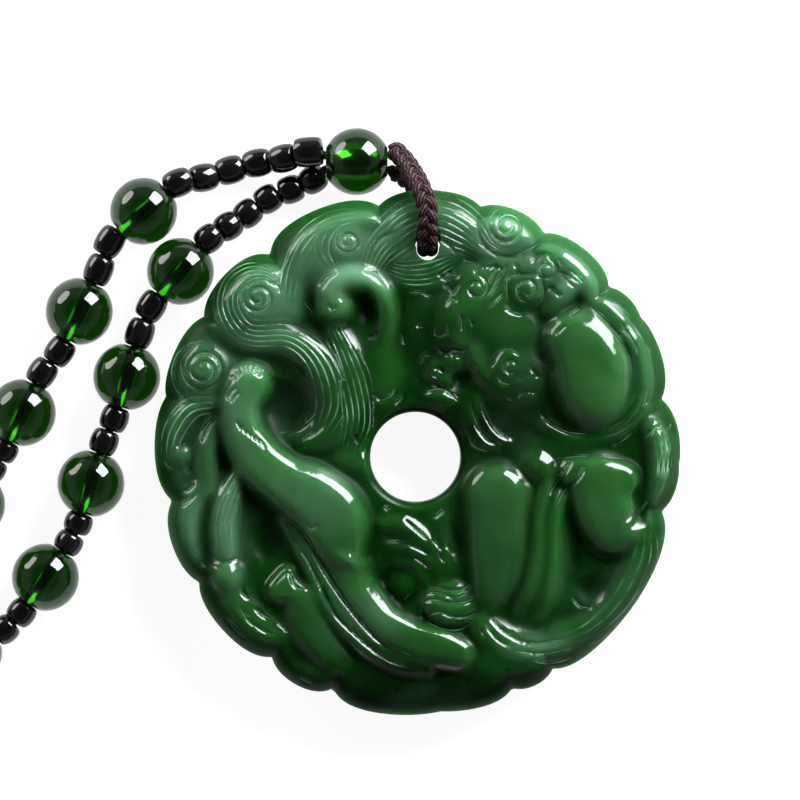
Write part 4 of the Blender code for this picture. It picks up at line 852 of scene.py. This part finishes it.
def pendant(finish):
    first = round(2 * math.pi * LOBE_RADIUS / FRONT_SPACING)
    last = round(2 * math.pi * HOLE_RADIUS / FRONT_SPACING)
    x, y, z, faces, front = face_rows(front_height, FRONT_SPACING, RIM_ROUND, HOLE_ROUND, first, last, 0)
    bx, by, bz, under, back = face_rows(back_height, BACK_SPACING, BACK_ROUND, BACK_HOLE_ROUND, first, last,
                                        len(x))
    shared = dict(zip(back[0], front[0]))
    faces += [tuple(shared.get(v, v - first) for v in reversed(face)) for face in under]
    top, bottom = front[-1], back[-1]
    for k in range(last):
        n = (k + 1) % last
        faces.append((top[k], top[n], bottom[n] - first, bottom[k] - first))
    places = np.stack([np.append(x, bx[first:]) - MIDDLE[0], np.append(y, by[first:]) - MIDDLE[1],
                       np.append(z, bz[first:])], 1) * MM
    mesh = bpy.data.meshes.new("jade_pendant")
    mesh.from_pydata(places.tolist(), [], faces)
    mesh.shade_smooth()
    made = add("jade_pendant", mesh, finish)
    cut(made, "bore_cutter", [(*BORE, height) for height in BORE_ENDS], BORE_RADIUS, BORE_SIDES)
    turn = turn_in_bore()
    beyond = turn[0][1] + PAST_RIM
    cut(made, "turn_cutter", [(BORE[0], beyond, LOOP_TOP)] + turn + [(BORE[0], beyond, LOOP_LOW)],
        LOOP_RADIUS + CLEAR, TURN_SIDES)
    made.data.shade_smooth()
    made.data.set_sharp_from_angle(angle=SHARP)
    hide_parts("pendant")
    return made


class Strand:
    """Smooth line through route points, walked by its length."""

    def __init__(self, points):
        self.line = curve(points, 12)
        steps = np.linalg.norm(np.diff(self.line, axis=0), axis=1)
        self.walked = np.concatenate([[0.0], np.cumsum(steps)])

    def place(self, distance):
        return np.array([np.interp(distance, self.walked, self.line[:, k]) for k in range(3)])

    def heading(self, distance):
        ahead = self.place(distance + 0.3) - self.place(distance - 0.3)
        return Vector(ahead / np.linalg.norm(ahead))

    def stations(self, stops):
        """Places with headings at distances along the line."""
        return [(self.place(stop), self.heading(stop)) for stop in stops]

    def nearest(self, point):
        return self.walked[np.argmin(np.linalg.norm(self.line - np.array(point), axis=1))]


def through(centre, heading):
    """Route points that run straight through a green bead."""
    middle = np.array([*centre, BEAD_RADIUS])
    step = np.array([*heading, 0.0]) / np.linalg.norm(heading) * (BEAD_HALF + STRAIGHT)
    return [tuple(middle - step), tuple(middle), tuple(middle + step)]


def strand_points(route):
    return route["start"] + [p for b in route["beads"] for p in through(*b)] + route["end"]


def loop_route():
    """Braided loop: out of the top bead, over the rim, through the bore and back under the rim."""
    face = TOP_BEAD[0] + BEAD_HALF + CLEAR
    front = [(face, 28.7, 3.3), (-1.9, 28.4, 3.6), (-1.1, 27.4, 4.7), (-0.4, 26.3, 6.1), (0.1, 25.3, 7.4),
             (0.6, 24.1, 8.2)]
    back = [(0.7, 24.0, 1.25), (-0.2, 25.2, 1.35), (-1.2, 26.1, 2.1), (-1.9, 26.5, 2.8), (face, 26.5, 3.1)]
    return front + turn_in_bore() + back


def coil_turns(radius):
    """Turns that an arm of the double spiral makes until it reaches the coil's centre turn."""
    return (radius - 2 * COIL_PITCH) / (2 * COIL_PITCH)


def coil_arm(radius, start):
    """One arm of the flat double spiral, from its outer end inwards, clockwise."""
    turns = coil_turns(radius)
    steps = round(turns * COIL_STEPS)
    places = []
    for share in turns * np.arange(steps + 1) / steps:
        angle = math.radians(start) - 2 * math.pi * share
        reach = radius - 2 * COIL_PITCH * share
        places.append((COIL[0] + reach * math.cos(angle), COIL[1] + reach * math.sin(angle), BEAD_RADIUS))
    return places


def coil_points():
    """Middle line of the coiled length: in on strand A's arm, through the centre, out on strand B's arm."""
    first = math.radians(ARM_A[1]) - 2 * math.pi * coil_turns(ARM_A[0])
    turn = []
    half = COIL_STEPS // 2
    for side, steps in ((1, half), (-1, half - 1)):
        x, y = COIL[0] + side * COIL_PITCH * math.cos(first), COIL[1] + side * COIL_PITCH * math.sin(first)
        for k in range(1, steps + 1):
            angle = first - side * math.pi * k / half
            turn.append((x + COIL_PITCH * math.cos(angle), y + COIL_PITCH * math.sin(angle), BEAD_RADIUS))
    return coil_arm(*ARM_A) + turn + coil_arm(*ARM_B)[::-1]


def value(node, name, setting):
    node.inputs[name].default_value = setting


class Finish:
    """A material's node tree, with short ways to add what the finishes share."""

    def __init__(self, name):
        self.made = bpy.data.materials.new(name)
        self.made.use_nodes = True
        self.tree = self.made.node_tree
        self.shader = self.tree.nodes["Principled BSDF"]
        self.place = self.node("ShaderNodeTexCoord").outputs["Object"]

    def node(self, kind, **settings):
        made = self.tree.nodes.new(kind)
        for name, setting in settings.items():
            setattr(made, name, setting)
        return made

    def link(self, source, target):
        self.tree.links.new(source, target)

    def noise(self, scale, detail=2.0, rough=0.5, distort=0.0):
        made = self.node("ShaderNodeTexNoise")
        settings = (("Scale", scale), ("Detail", detail), ("Roughness", rough), ("Distortion", distort))
        for name, setting in settings:
            value(made, name, setting)
        self.link(self.place, made.inputs["Vector"])
        return made.outputs["Fac"]

    def attribute(self, name):
        return self.node("ShaderNodeAttribute", attribute_name=name).outputs["Fac"]

    def ramp(self, source, *stops):
        made = self.node("ShaderNodeValToRGB")
        line = made.color_ramp
        while len(line.elements) < len(stops):
            line.elements.new(0.5)
        for stop, (place, colour) in zip(line.elements, stops):
            stop.position = place
            stop.color = (*colour, 1.0)
        self.link(source, made.inputs["Fac"])
        return made.outputs["Color"]

    def fade(self, source, start, low, end, high):
        """Grey that goes from low to high between two values of the source."""
        return self.ramp(source, (start, (low,) * 3), (end, (high,) * 3))

    def feed(self, socket, source):
        """Link an output to a socket, or set the socket to a colour or a number."""
        if hasattr(source, "is_linked"):
            self.link(source, socket)
        elif isinstance(source, tuple):
            socket.default_value = (*source, 1.0)
        else:
            socket.default_value = source

    def mix(self, share, a, b, blend="MIX"):
        made = self.node("ShaderNodeMix", data_type="RGBA", blend_type=blend)
        for number, source in ((0, share), (6, a), (7, b)):
            self.feed(made.inputs[number], source)
        return made.outputs[2]

    def maths(self, operation, *sources):
        made = self.node("ShaderNodeMath", operation=operation)
        for socket, source in zip(made.inputs, sources):
            self.feed(socket, source)
        return made.outputs[0]

    def spread(self, source, low, high):
        made = self.node("ShaderNodeMapRange")
        value(made, "To Min", low)
        value(made, "To Max", high)
        self.link(source, made.inputs["Value"])
        return made.outputs["Result"]

    def bump(self, source, strength, distance, **settings):
        made = self.node("ShaderNodeBump", **settings)
        value(made, "Strength", strength)
        value(made, "Distance", distance)
        self.link(source, made.inputs["Height"])
        self.link(made.outputs["Normal"], self.shader.inputs["Normal"])

    def colour(self, source):
        self.link(source, self.shader.inputs["Base Color"])

    def rough(self, scale, low, high):
        """Roughness that varies between two values in small patches."""
        self.link(self.spread(self.noise(scale), low, high), self.shader.inputs["Roughness"])

    def set(self, **settings):
        for name, setting in settings.items():
            value(self.shader, name.replace("_", " "), setting)


def jade_body(f, cavity):
    """Colour of the stone, with painted shade and light: deep green in the hollows, the lower places and
    along the rim, lighter on the raised forms, with painted milky and shaded spots and random clouds.
    """
    milky = f.attribute("milk")
    # Painted shade and light: darker green the lower a place lies, lighter the higher it stands
    body = f.ramp(f.attribute("height"), (0.0, (0.0003, 0.027, 0.0002)), (0.25, (0.0014, 0.035, 0.001)),
                  (0.5, (0.0065, 0.056, 0.006)), (1.0, (0.021, 0.1, 0.022)))
    # Spots of painted milky light and painted shade: milkier above the middle value, near black green below
    # it
    body = f.mix(f.fade(milky, 0.5, 0.0, 1.0, 1.0), body, (0.086, 0.202, 0.11))
    body = f.mix(f.fade(milky, 0.0, 1.0, 0.5, 0.0), body, (0.0001, 0.01, 0.0001))
    # Painted shade in the hollows and along the rim, painted light on the crests
    shade = f.ramp(cavity, (0.12, (0.12, 0.42, 0.12)), (0.5, WHITE), (0.9, (1.3, 1.15, 1.25)))
    body = f.mix(1.0, body, shade, "MULTIPLY")
    cloud = f.ramp(f.noise(110.0, 3.0, 0.55, 0.6), (0.33, (0.66, 0.76, 0.7)), (0.68, (1.34, 1.2, 1.3)))
    body = f.mix(1.0, body, cloud, "MULTIPLY")
    return f.mix(f.fade(f.noise(42.0, 4.0, 0.6, 1.2), 0.48, 0.0, 0.75, 0.35), body, (0.045, 0.12, 0.06))


def jade_combing(f):
    """Fine worn lines side by side, where the stored comb is cut; their strength makes the bump and lightens
    the colour as painted highlight.
    """
    unsteady = f.maths("MULTIPLY_ADD", f.noise(160.0), 0.4, -0.2)
    turns = f.maths("ADD", f.attribute("comb_line"), unsteady)
    wave = f.maths("SINE", f.maths("MULTIPLY", turns, 2 * math.pi))
    groove = f.maths("POWER", f.maths("MULTIPLY_ADD", wave, 0.5, 0.5), 9.0)
    worn = f.fade(f.noise(420.0), 0.42, 0.1, 0.64, 1.0)
    return f.maths("MULTIPLY", f.maths("MULTIPLY", groove, f.attribute("comb_cut")), worn)


def jade_finish():
    """Translucent jade, polished on its open forms and duller on steep and hollow places."""
    f = Finish("polished_jade")
    cavity = f.attribute("cavity")
    combed_and_highlit = jade_combing(f)
    # Painted highlight: the combed lines are lightened toward pale green
    f.colour(f.mix(f.maths("MULTIPLY", combed_and_highlit, LINE_HIGHLIGHT), jade_body(f, cavity), (0.33, 0.58, 0.4)))
    shine = f.maths("MULTIPLY", f.attribute("polish"), f.fade(cavity, 0.3, 0.0, 0.47, 1.0))
    f.link(f.spread(shine, 0.05, 0.4), f.shader.inputs["Specular IOR Level"])
    dull = f.maths("ADD", f.spread(f.noise(900.0), 0.05, 0.11), f.spread(shine, 0.3, 0.0))
    f.link(dull, f.shader.inputs["Roughness"])
    f.set(Subsurface_Weight=1.0, Subsurface_Radius=(0.4, 1.0, 0.45), Subsurface_Scale=0.0055, IOR=1.55)
    ripple = f.maths("MULTIPLY", f.noise(300.0, 4.0, 0.6), 0.65)
    f.bump(f.maths("SUBTRACT", ripple, combed_and_highlit), 1.0, 0.0001)
    return f.made


def green_glass_finish():
    """Green glass of the round beads, which takes in more light where it is thicker."""
    f = Finish("green_glass")
    f.colour(f.ramp(f.noise(300.0), (0.3, (0.9, 0.98, 0.86)), (0.7, (0.96, 1.0, 0.9))))
    f.rough(700.0, 0.0, 0.02)
    f.set(Transmission_Weight=1.0, IOR=1.5)
    depth = f.node("ShaderNodeVolumeAbsorption")
    value(depth, "Color", (0.22, 0.52, 0.02, 1.0))
    value(depth, "Density", GLASS_DENSITY)
    f.link(depth.outputs[0], f.tree.nodes["Material Output"].inputs["Volume"])
    return f.made


def bore_finish():
    """Wall of a bead's drilled hole, which mirrors the light as seen through the glass."""
    f = Finish("bead_bore")
    f.colour(f.ramp(f.noise(900.0), (0.3, (0.5, 0.9, 0.4)), (0.7, (0.6, 1.0, 0.5))))
    f.rough(1500.0, 0.15, 0.25)
    f.set(Metallic=1.0)
    return f.made


def black_glass_finish():
    f = Finish("black_glass")
    f.colour(f.ramp(f.noise(600.0), (0.3, (0.002, 0.0015, 0.0018)), (0.75, (0.005, 0.004, 0.0045))))
    f.rough(1500.0, 0.03, 0.1)
    f.set(IOR=1.52)
    f.bump(f.noise(900.0), 0.08, 0.00005)
    return f.made


def braid_finish():
    """Burgundy silk cord, its fibres running along each strand, lighter on their crests as painted sheen."""
    f = Finish("braided_silk")
    around = f.maths("MULTIPLY", f.attribute("around"), 2 * math.pi * FIBRES)
    twist = f.maths("MULTIPLY", f.attribute("along"), FIBRE_TWIST)
    ridge = f.maths("SINE", f.maths("ADD", around, twist))
    grain_and_sheen = f.maths("ADD", f.maths("MULTIPLY", ridge, 0.28), f.noise(5200.0, 3.0, 0.6))
    # Fibre colour whose light top stops are painted sheen on the fibres' crests
    f.colour(f.ramp(grain_and_sheen, (0.2, (0.006, 0.0018, 0.0025)), (0.5, (0.016, 0.005, 0.007)),
                    (0.72, (0.05, 0.022, 0.027)), (0.9, (0.2, 0.11, 0.12))))
    f.rough(2600.0, 0.5, 0.72)
    f.set(Specular_IOR_Level=0.15)
    f.bump(grain_and_sheen, 0.7, 0.00012, invert=True)
    return f.made


def string_finish():
    f = Finish("dark_string")
    f.colour(f.ramp(f.noise(4200.0, 3.0), (0.3, (0.012, 0.006, 0.007)), (0.75, (0.05, 0.022, 0.026))))
    f.rough(2600.0, 0.6, 0.85)
    f.bump(f.noise(5200.0), 0.5, 0.0001)
    return f.made


def floor_finish():
    f = Finish("pale_floor")
    f.colour(f.fade(f.noise(14.0), 0.3, 0.21, 0.7, 0.24))
    f.rough(40.0, 0.7, 0.8)
    f.set(Specular_IOR_Level=0.1, Emission_Color=(*WHITE, 1.0), Emission_Strength=FLOOR_GLOW)
    return f.made


def store(mesh, **fields):
    """Keep one number for each point of a mesh under each name."""
    for name, values in fields.items():
        made = mesh.attributes.new(name, "FLOAT", "POINT")
        made.data.foreach_set("value", np.asarray(values, np.float32))


def milk_field():
    """How milky the stone is painted on the grid, as painted light and shade: above nought milkier, below it
    deeper green.
    """
    gx, gy = grid_places()
    spots = Relief(gx, gy)
    return sum(amount * np.exp(-spots.across(*spot) ** 2) for *spot, amount in MILK_AND_SHADE_SPOTS)


def set_depths(mesh):
    """Store what the jade's colour, with its painted shade and light, and its polish follow, for each point
    of the mesh.
    """
    flat = np.empty(3 * len(mesh.vertices))
    mesh.vertices.foreach_get("co", flat)
    x, y, z = flat.reshape(-1, 3).T / MM
    x, y = x + MIDDLE[0], y + MIDDLE[1]
    front = z > SEAM - FRONT_BELOW
    cavity = np.where(front, 0.5 + (z - sample(blurred(FIELD, DEPTH_REACH / GRID), x, y)) / CAVITY_SPAN, 0.5)
    # Painted shade: the stone is darkened along the rim
    cavity -= EDGE_DARK * np.exp(-np.maximum(outline(np.arctan2(y, x)) - np.hypot(x, y), 0) / EDGE_SPAN)
    height = np.where(front, (sample(FIELD, x, y) - LOWEST) / (HIGHEST - LOWEST), 0.5)
    # Spots of painted milky light and painted shade
    milk = np.where(front, 0.5 + 0.5 * sample(milk_field(), x, y), 0.5)
    comb = Comb(x, y)
    for carve in LINES:
        carve(comb)
    mesh.vertex_normals.foreach_get("vector", flat)
    polish = (np.abs(flat[2::3]) - STEEP) / (GENTLE - STEEP)
    store(mesh, cavity=np.clip(cavity, 0, 1), height=np.clip(height, 0, 1), milk=np.clip(milk, 0, 1),
          comb_line=comb.line, comb_cut=np.where(front, comb.cut, 0.0), polish=np.clip(polish, 0, 1))


def turned(profile, sides):
    """Points and faces of a solid turned around Z, its profile closed and anticlockwise, in millimetres."""
    count = len(profile)
    angle = 2 * math.pi * np.arange(sides) / sides
    points = np.array([(r * math.cos(a), r * math.sin(a), h) for a in angle for r, h in profile])
    faces = []
    for k in range(sides):
        n = (k + 1) % sides
        for p in range(count):
            q = (p + 1) % count
            faces.append((k * count + p, n * count + p, n * count + q, k * count + q))
    return points, faces, count


def round_bead(sides=40, rings=22, bore=GREEN_BORE):
    """Green bead: a ball with small flat ends, softened at the mouths of its bore."""
    flat = math.asin(BEAD_HALF / BEAD_RADIUS)
    arc = [(BEAD_RADIUS * math.cos(a), BEAD_RADIUS * math.sin(a)) for a in np.linspace(-flat, flat, rings)]
    low = [(bore, MOUTH_SOFT - BEAD_HALF), (bore + MOUTH_SOFT, -BEAD_HALF)]
    high = [(r, -h) for r, h in reversed(low)]
    return turned(low + arc + high, sides)


def seed_bead(half, radius=SEED_RADIUS, sides=24, bulge=0.75):
    """Short black bead with a rounded side and a bore."""
    inner = radius - SEED_ROUND
    profile = [(SEED_BORE, -half), (inner, -half)]
    for k in range(1, 8):
        turn = math.radians(-90 + 22.5 * k)
        profile.append((inner + SEED_ROUND * math.cos(turn) ** bulge, half * math.sin(turn)))
    profile += [(inner, half), (SEED_BORE, half)]
    return turned(profile, sides)


def threaded(name, kind, places, nodes, finish, wall=None):
    """Equal beads in one mesh, in place of the nodes named.

    Each place is a bead's middle in millimetres with its heading, and wall is the finish of the bores.
    """
    points, faces, rows = kind
    verts, polys = [], []
    for middle, heading in places:
        turn = np.array(Vector(heading).to_track_quat("Z", "X").to_matrix())
        base = len(verts)
        verts += [at(*p) for p in (points @ turn.T + np.array(middle))]
        polys += [tuple(base + v for v in face) for face in faces]
    mesh = bpy.data.meshes.new(name)
    mesh.from_pydata(verts, [], polys)
    made = add(name, mesh, finish, *([wall] if wall else []))
    if wall:
        inner = np.arange(len(polys)) % rows == rows - 1
        mesh.polygons.foreach_set("material_index", inner.astype(np.int32))
    mesh.shade_smooth()
    mesh.set_sharp_from_angle(angle=SHARP)
    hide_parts(*nodes)
    return made


def bead_stops(strand, first, route):
    """Pitches and middles of the runs of seed beads along one strand, its green beads, and its end."""
    runs, greens = [], []
    begin = first
    for k, count in enumerate(route["runs"]):
        last = k == len(route["beads"])
        stop = 0.0 if last else strand.nearest((*route["beads"][k][0], BEAD_RADIUS))
        pitch = SEED_PITCH if last else (stop - BEAD_HALF - begin) / count
        runs.append((pitch, [begin + (n + 0.5) * pitch for n in range(count)]))
        begin += count * pitch
        if not last:
            greens.append(stop)
            begin = stop + BEAD_HALF
    return runs, greens, begin


def strand_beads(letter, strand, first, route, green, wall, black):
    """The beads of one strand up to the coil, each run of seed beads as one piece."""
    runs, greens, end = bead_stops(strand, first, route)
    pieces = []
    number = 1
    for k, (pitch, stops) in enumerate(runs, 1):
        nodes = [f"seed_{letter}{number + n}" for n in range(len(stops))]
        kind = seed_bead((pitch - SEED_GAP) / 2)
        pieces.append(threaded(f"seeds_{letter}{k}", kind, strand.stations(stops), nodes,
                               black))
        number += len(stops)
    for k, stop in enumerate(greens, 1):
        pieces.append(threaded(f"green_{letter}{k}", round_bead(), strand.stations([stop]),
                               [f"bead_{letter}{k}"], green, wall))
    return pieces, end


def coil_beads(strand, begin, end, green, wall, black):
    """Green beads and pairs of seed beads along the coiled length, in the pattern of the strands."""
    count = round((end - begin + 2 * SEED_PITCH) / (2 * BEAD_HALF + 2 * SEED_PITCH))
    pitch = (end - begin - count * 2 * BEAD_HALF) / (count - 1) / 2
    middles = begin + BEAD_HALF + 2 * (BEAD_HALF + pitch) * np.arange(count)
    greens = strand.stations(middles)
    seeds = strand.stations([middle + BEAD_HALF + half * pitch for middle in middles[:-1]
                             for half in (0.5, 1.5)])
    kind = seed_bead((pitch - SEED_GAP) / 2, SEED_RADIUS, 14)
    nodes = ["necklace_coil"]
    return [threaded("coil_green_beads", round_bead(24, 14), greens, nodes, green, wall),
            threaded("coil_seed_beads", kind, seeds, nodes, black)]


def string_curve(name, strand, finish):
    data = bpy.data.curves.new(name, "CURVE")
    data.dimensions = "3D"
    data.bevel_depth = STRING_RADIUS * MM
    data.bevel_resolution = 3
    data.use_fill_caps = True
    stops = np.linspace(0.0, strand.walked[-1], round(strand.walked[-1]) + 1)
    spline = data.splines.new("POLY")
    spline.points.add(len(stops) - 1)
    for point, stop in zip(spline.points, stops):
        point.co = (*at(*strand.place(stop)), 1.0)
    return add(name, data, finish)


def necklace(green, wall, black, string):
    """The necklace on one string: out of the top bead on strand A, through the coil, back on strand B."""
    points_a, points_b = strand_points(ROUTE_A), strand_points(ROUTE_B)
    whole = Strand(points_a + coil_points() + points_b[::-1])
    length = whole.walked[-1]
    line = string_curve("necklace_string", whole, string)
    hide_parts("string_a", "string_b")
    strand_a, strand_b = Strand(points_a), Strand(points_b)
    barrel = strand_a.nearest(BARREL)
    mouth = strand_b.nearest(ROUTE_B["start"][1])
    pieces, end_a = strand_beads("a", strand_a, barrel + BARREL_HALF, ROUTE_A, green, wall, black)
    more, end_b = strand_beads("b", strand_b, mouth + MOUTH_GAP, ROUTE_B, green, wall, black)
    pieces += more
    pieces.append(threaded("barrel_seed", seed_bead(BARREL_HALF, BARREL_RADIUS, 28, 0.35),
                           strand_a.stations([barrel]), ["barrel_bead"], black))
    pieces.append(threaded("green_top", round_bead(44, 24, TOP_BORE), [(TOP_BEAD, (1.0, 0.0, 0.0))],
                           ["bead_top"], green, wall))
    pieces += coil_beads(whole, end_a + CLEAR, length - end_b - CLEAR, green, wall, black)


def braided_loop(finish):
    """Round braid of three silk strands."""
    path = Strand(loop_route())
    stops = np.linspace(0.0, path.walked[-1], round(path.walked[-1] / BRAID_STEP) + 1)
    centre = np.array([path.place(stop) for stop in stops])
    ahead = unit(np.gradient(centre, axis=0))
    side = unit(np.cross(ahead, (1.0, 0.0, 0.0)))
    up = np.cross(side, ahead)
    verts, faces = [], []
    for k in range(3):
        phase = 2 * math.pi * (stops / BRAID_TURN + k / 3)[:, None]
        middle = centre + BRAID_WIDE * up * np.sin(phase) + BRAID_DEEP * side * np.sin(2 * phase)
        out = unit(np.cross(unit(np.gradient(middle, axis=0)), side))
        places, rings = tube(middle, out, BRAID_STRAND, STRAND_SIDES)
        faces += [tuple(len(verts) + v for v in face) for face in rings]
        verts += [at(*place) for place in places]
    mesh = bpy.data.meshes.new("braid")
    mesh.from_pydata(verts, [], faces)
    mesh.shade_smooth()
    store(mesh, along=np.tile(np.repeat(stops, STRAND_SIDES), 3),
          around=np.tile(np.arange(STRAND_SIDES) / STRAND_SIDES, 3 * len(stops)))
    made = add("loop_braid", mesh, finish)
    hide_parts("braided_loop")


def floor(finish):
    mesh = bpy.data.meshes.new("floor")
    corners = [(x * FLOOR_HALF, y * FLOOR_HALF, 0) for x, y in ((-1, -1), (1, -1), (1, 1), (-1, 1))]
    mesh.from_pydata(corners, [], [(0, 1, 2, 3)])
    mesh.materials.append(finish)
    put("floor", mesh)


def softbox(name, shape, toward, size, power, colour):
    light = bpy.data.lights.new(name, "AREA")
    light.shape = shape
    light.size, light.size_y = size
    light.energy = power
    light.color = colour
    made = put(name, light)
    direction = Vector(toward).normalized()
    made.location = direction * SOFTBOX_AWAY
    made.rotation_euler = direction.to_track_quat("Z", "Y").to_euler()


def surroundings():
    """Studio with pale walls all round and a dim ceiling."""
    world = bpy.data.worlds.new("studio")
    bpy.context.scene.world = world
    world.use_nodes = True
    tree = world.node_tree
    split = tree.nodes.new("ShaderNodeSeparateXYZ")
    tree.links.new(tree.nodes.new("ShaderNodeTexCoord").outputs["Generated"], split.inputs[0])
    walls = tree.nodes.new("ShaderNodeMapRange")
    walls.interpolation_type = "SMOOTHSTEP"
    for name, setting in (("From Min", 0.8), ("From Max", 0.5), ("To Min", CEILING_LIGHT),
                          ("To Max", WALL_LIGHT)):
        value(walls, name, setting)
    tree.links.new(split.outputs["Z"], walls.inputs["Value"])
    back = tree.nodes["Background"]
    value(back, "Color", (0.96, 0.98, 1.0, 1.0))
    tree.links.new(walls.outputs["Result"], back.inputs["Strength"])
    bpy.context.scene.view_settings.view_transform = "Standard"


def camera():
    data = bpy.data.cameras.new("camera")
    data.lens = data.sensor_width * CAMERA_HEIGHT / VIEW_WIDTH
    data.clip_start = 0.01
    data.clip_end = 20.0
    made = put("camera", data)
    made.location = at(*VIEW_MIDDLE, VIEW_LEVEL + CAMERA_HEIGHT)
    bpy.context.scene.camera = made


camera()
glass, wall, black = green_glass_finish(), bore_finish(), black_glass_finish()
necklace(glass, wall, black, string_finish())
braided_loop(braid_finish())
jade = pendant(jade_finish())
set_depths(jade.data)
floor(floor_finish())
softbox("key_softbox", "RECTANGLE", (0.59, 0.69, 0.41), KEY_SIZE, KEY_POWER, (0.93, 0.97, 1.0))
softbox("side_softbox", "ELLIPSE", (-0.74, 0.64, 0.2), SIDE_SIZE, SIDE_POWER, (1.0, 0.97, 0.93))
surroundings()
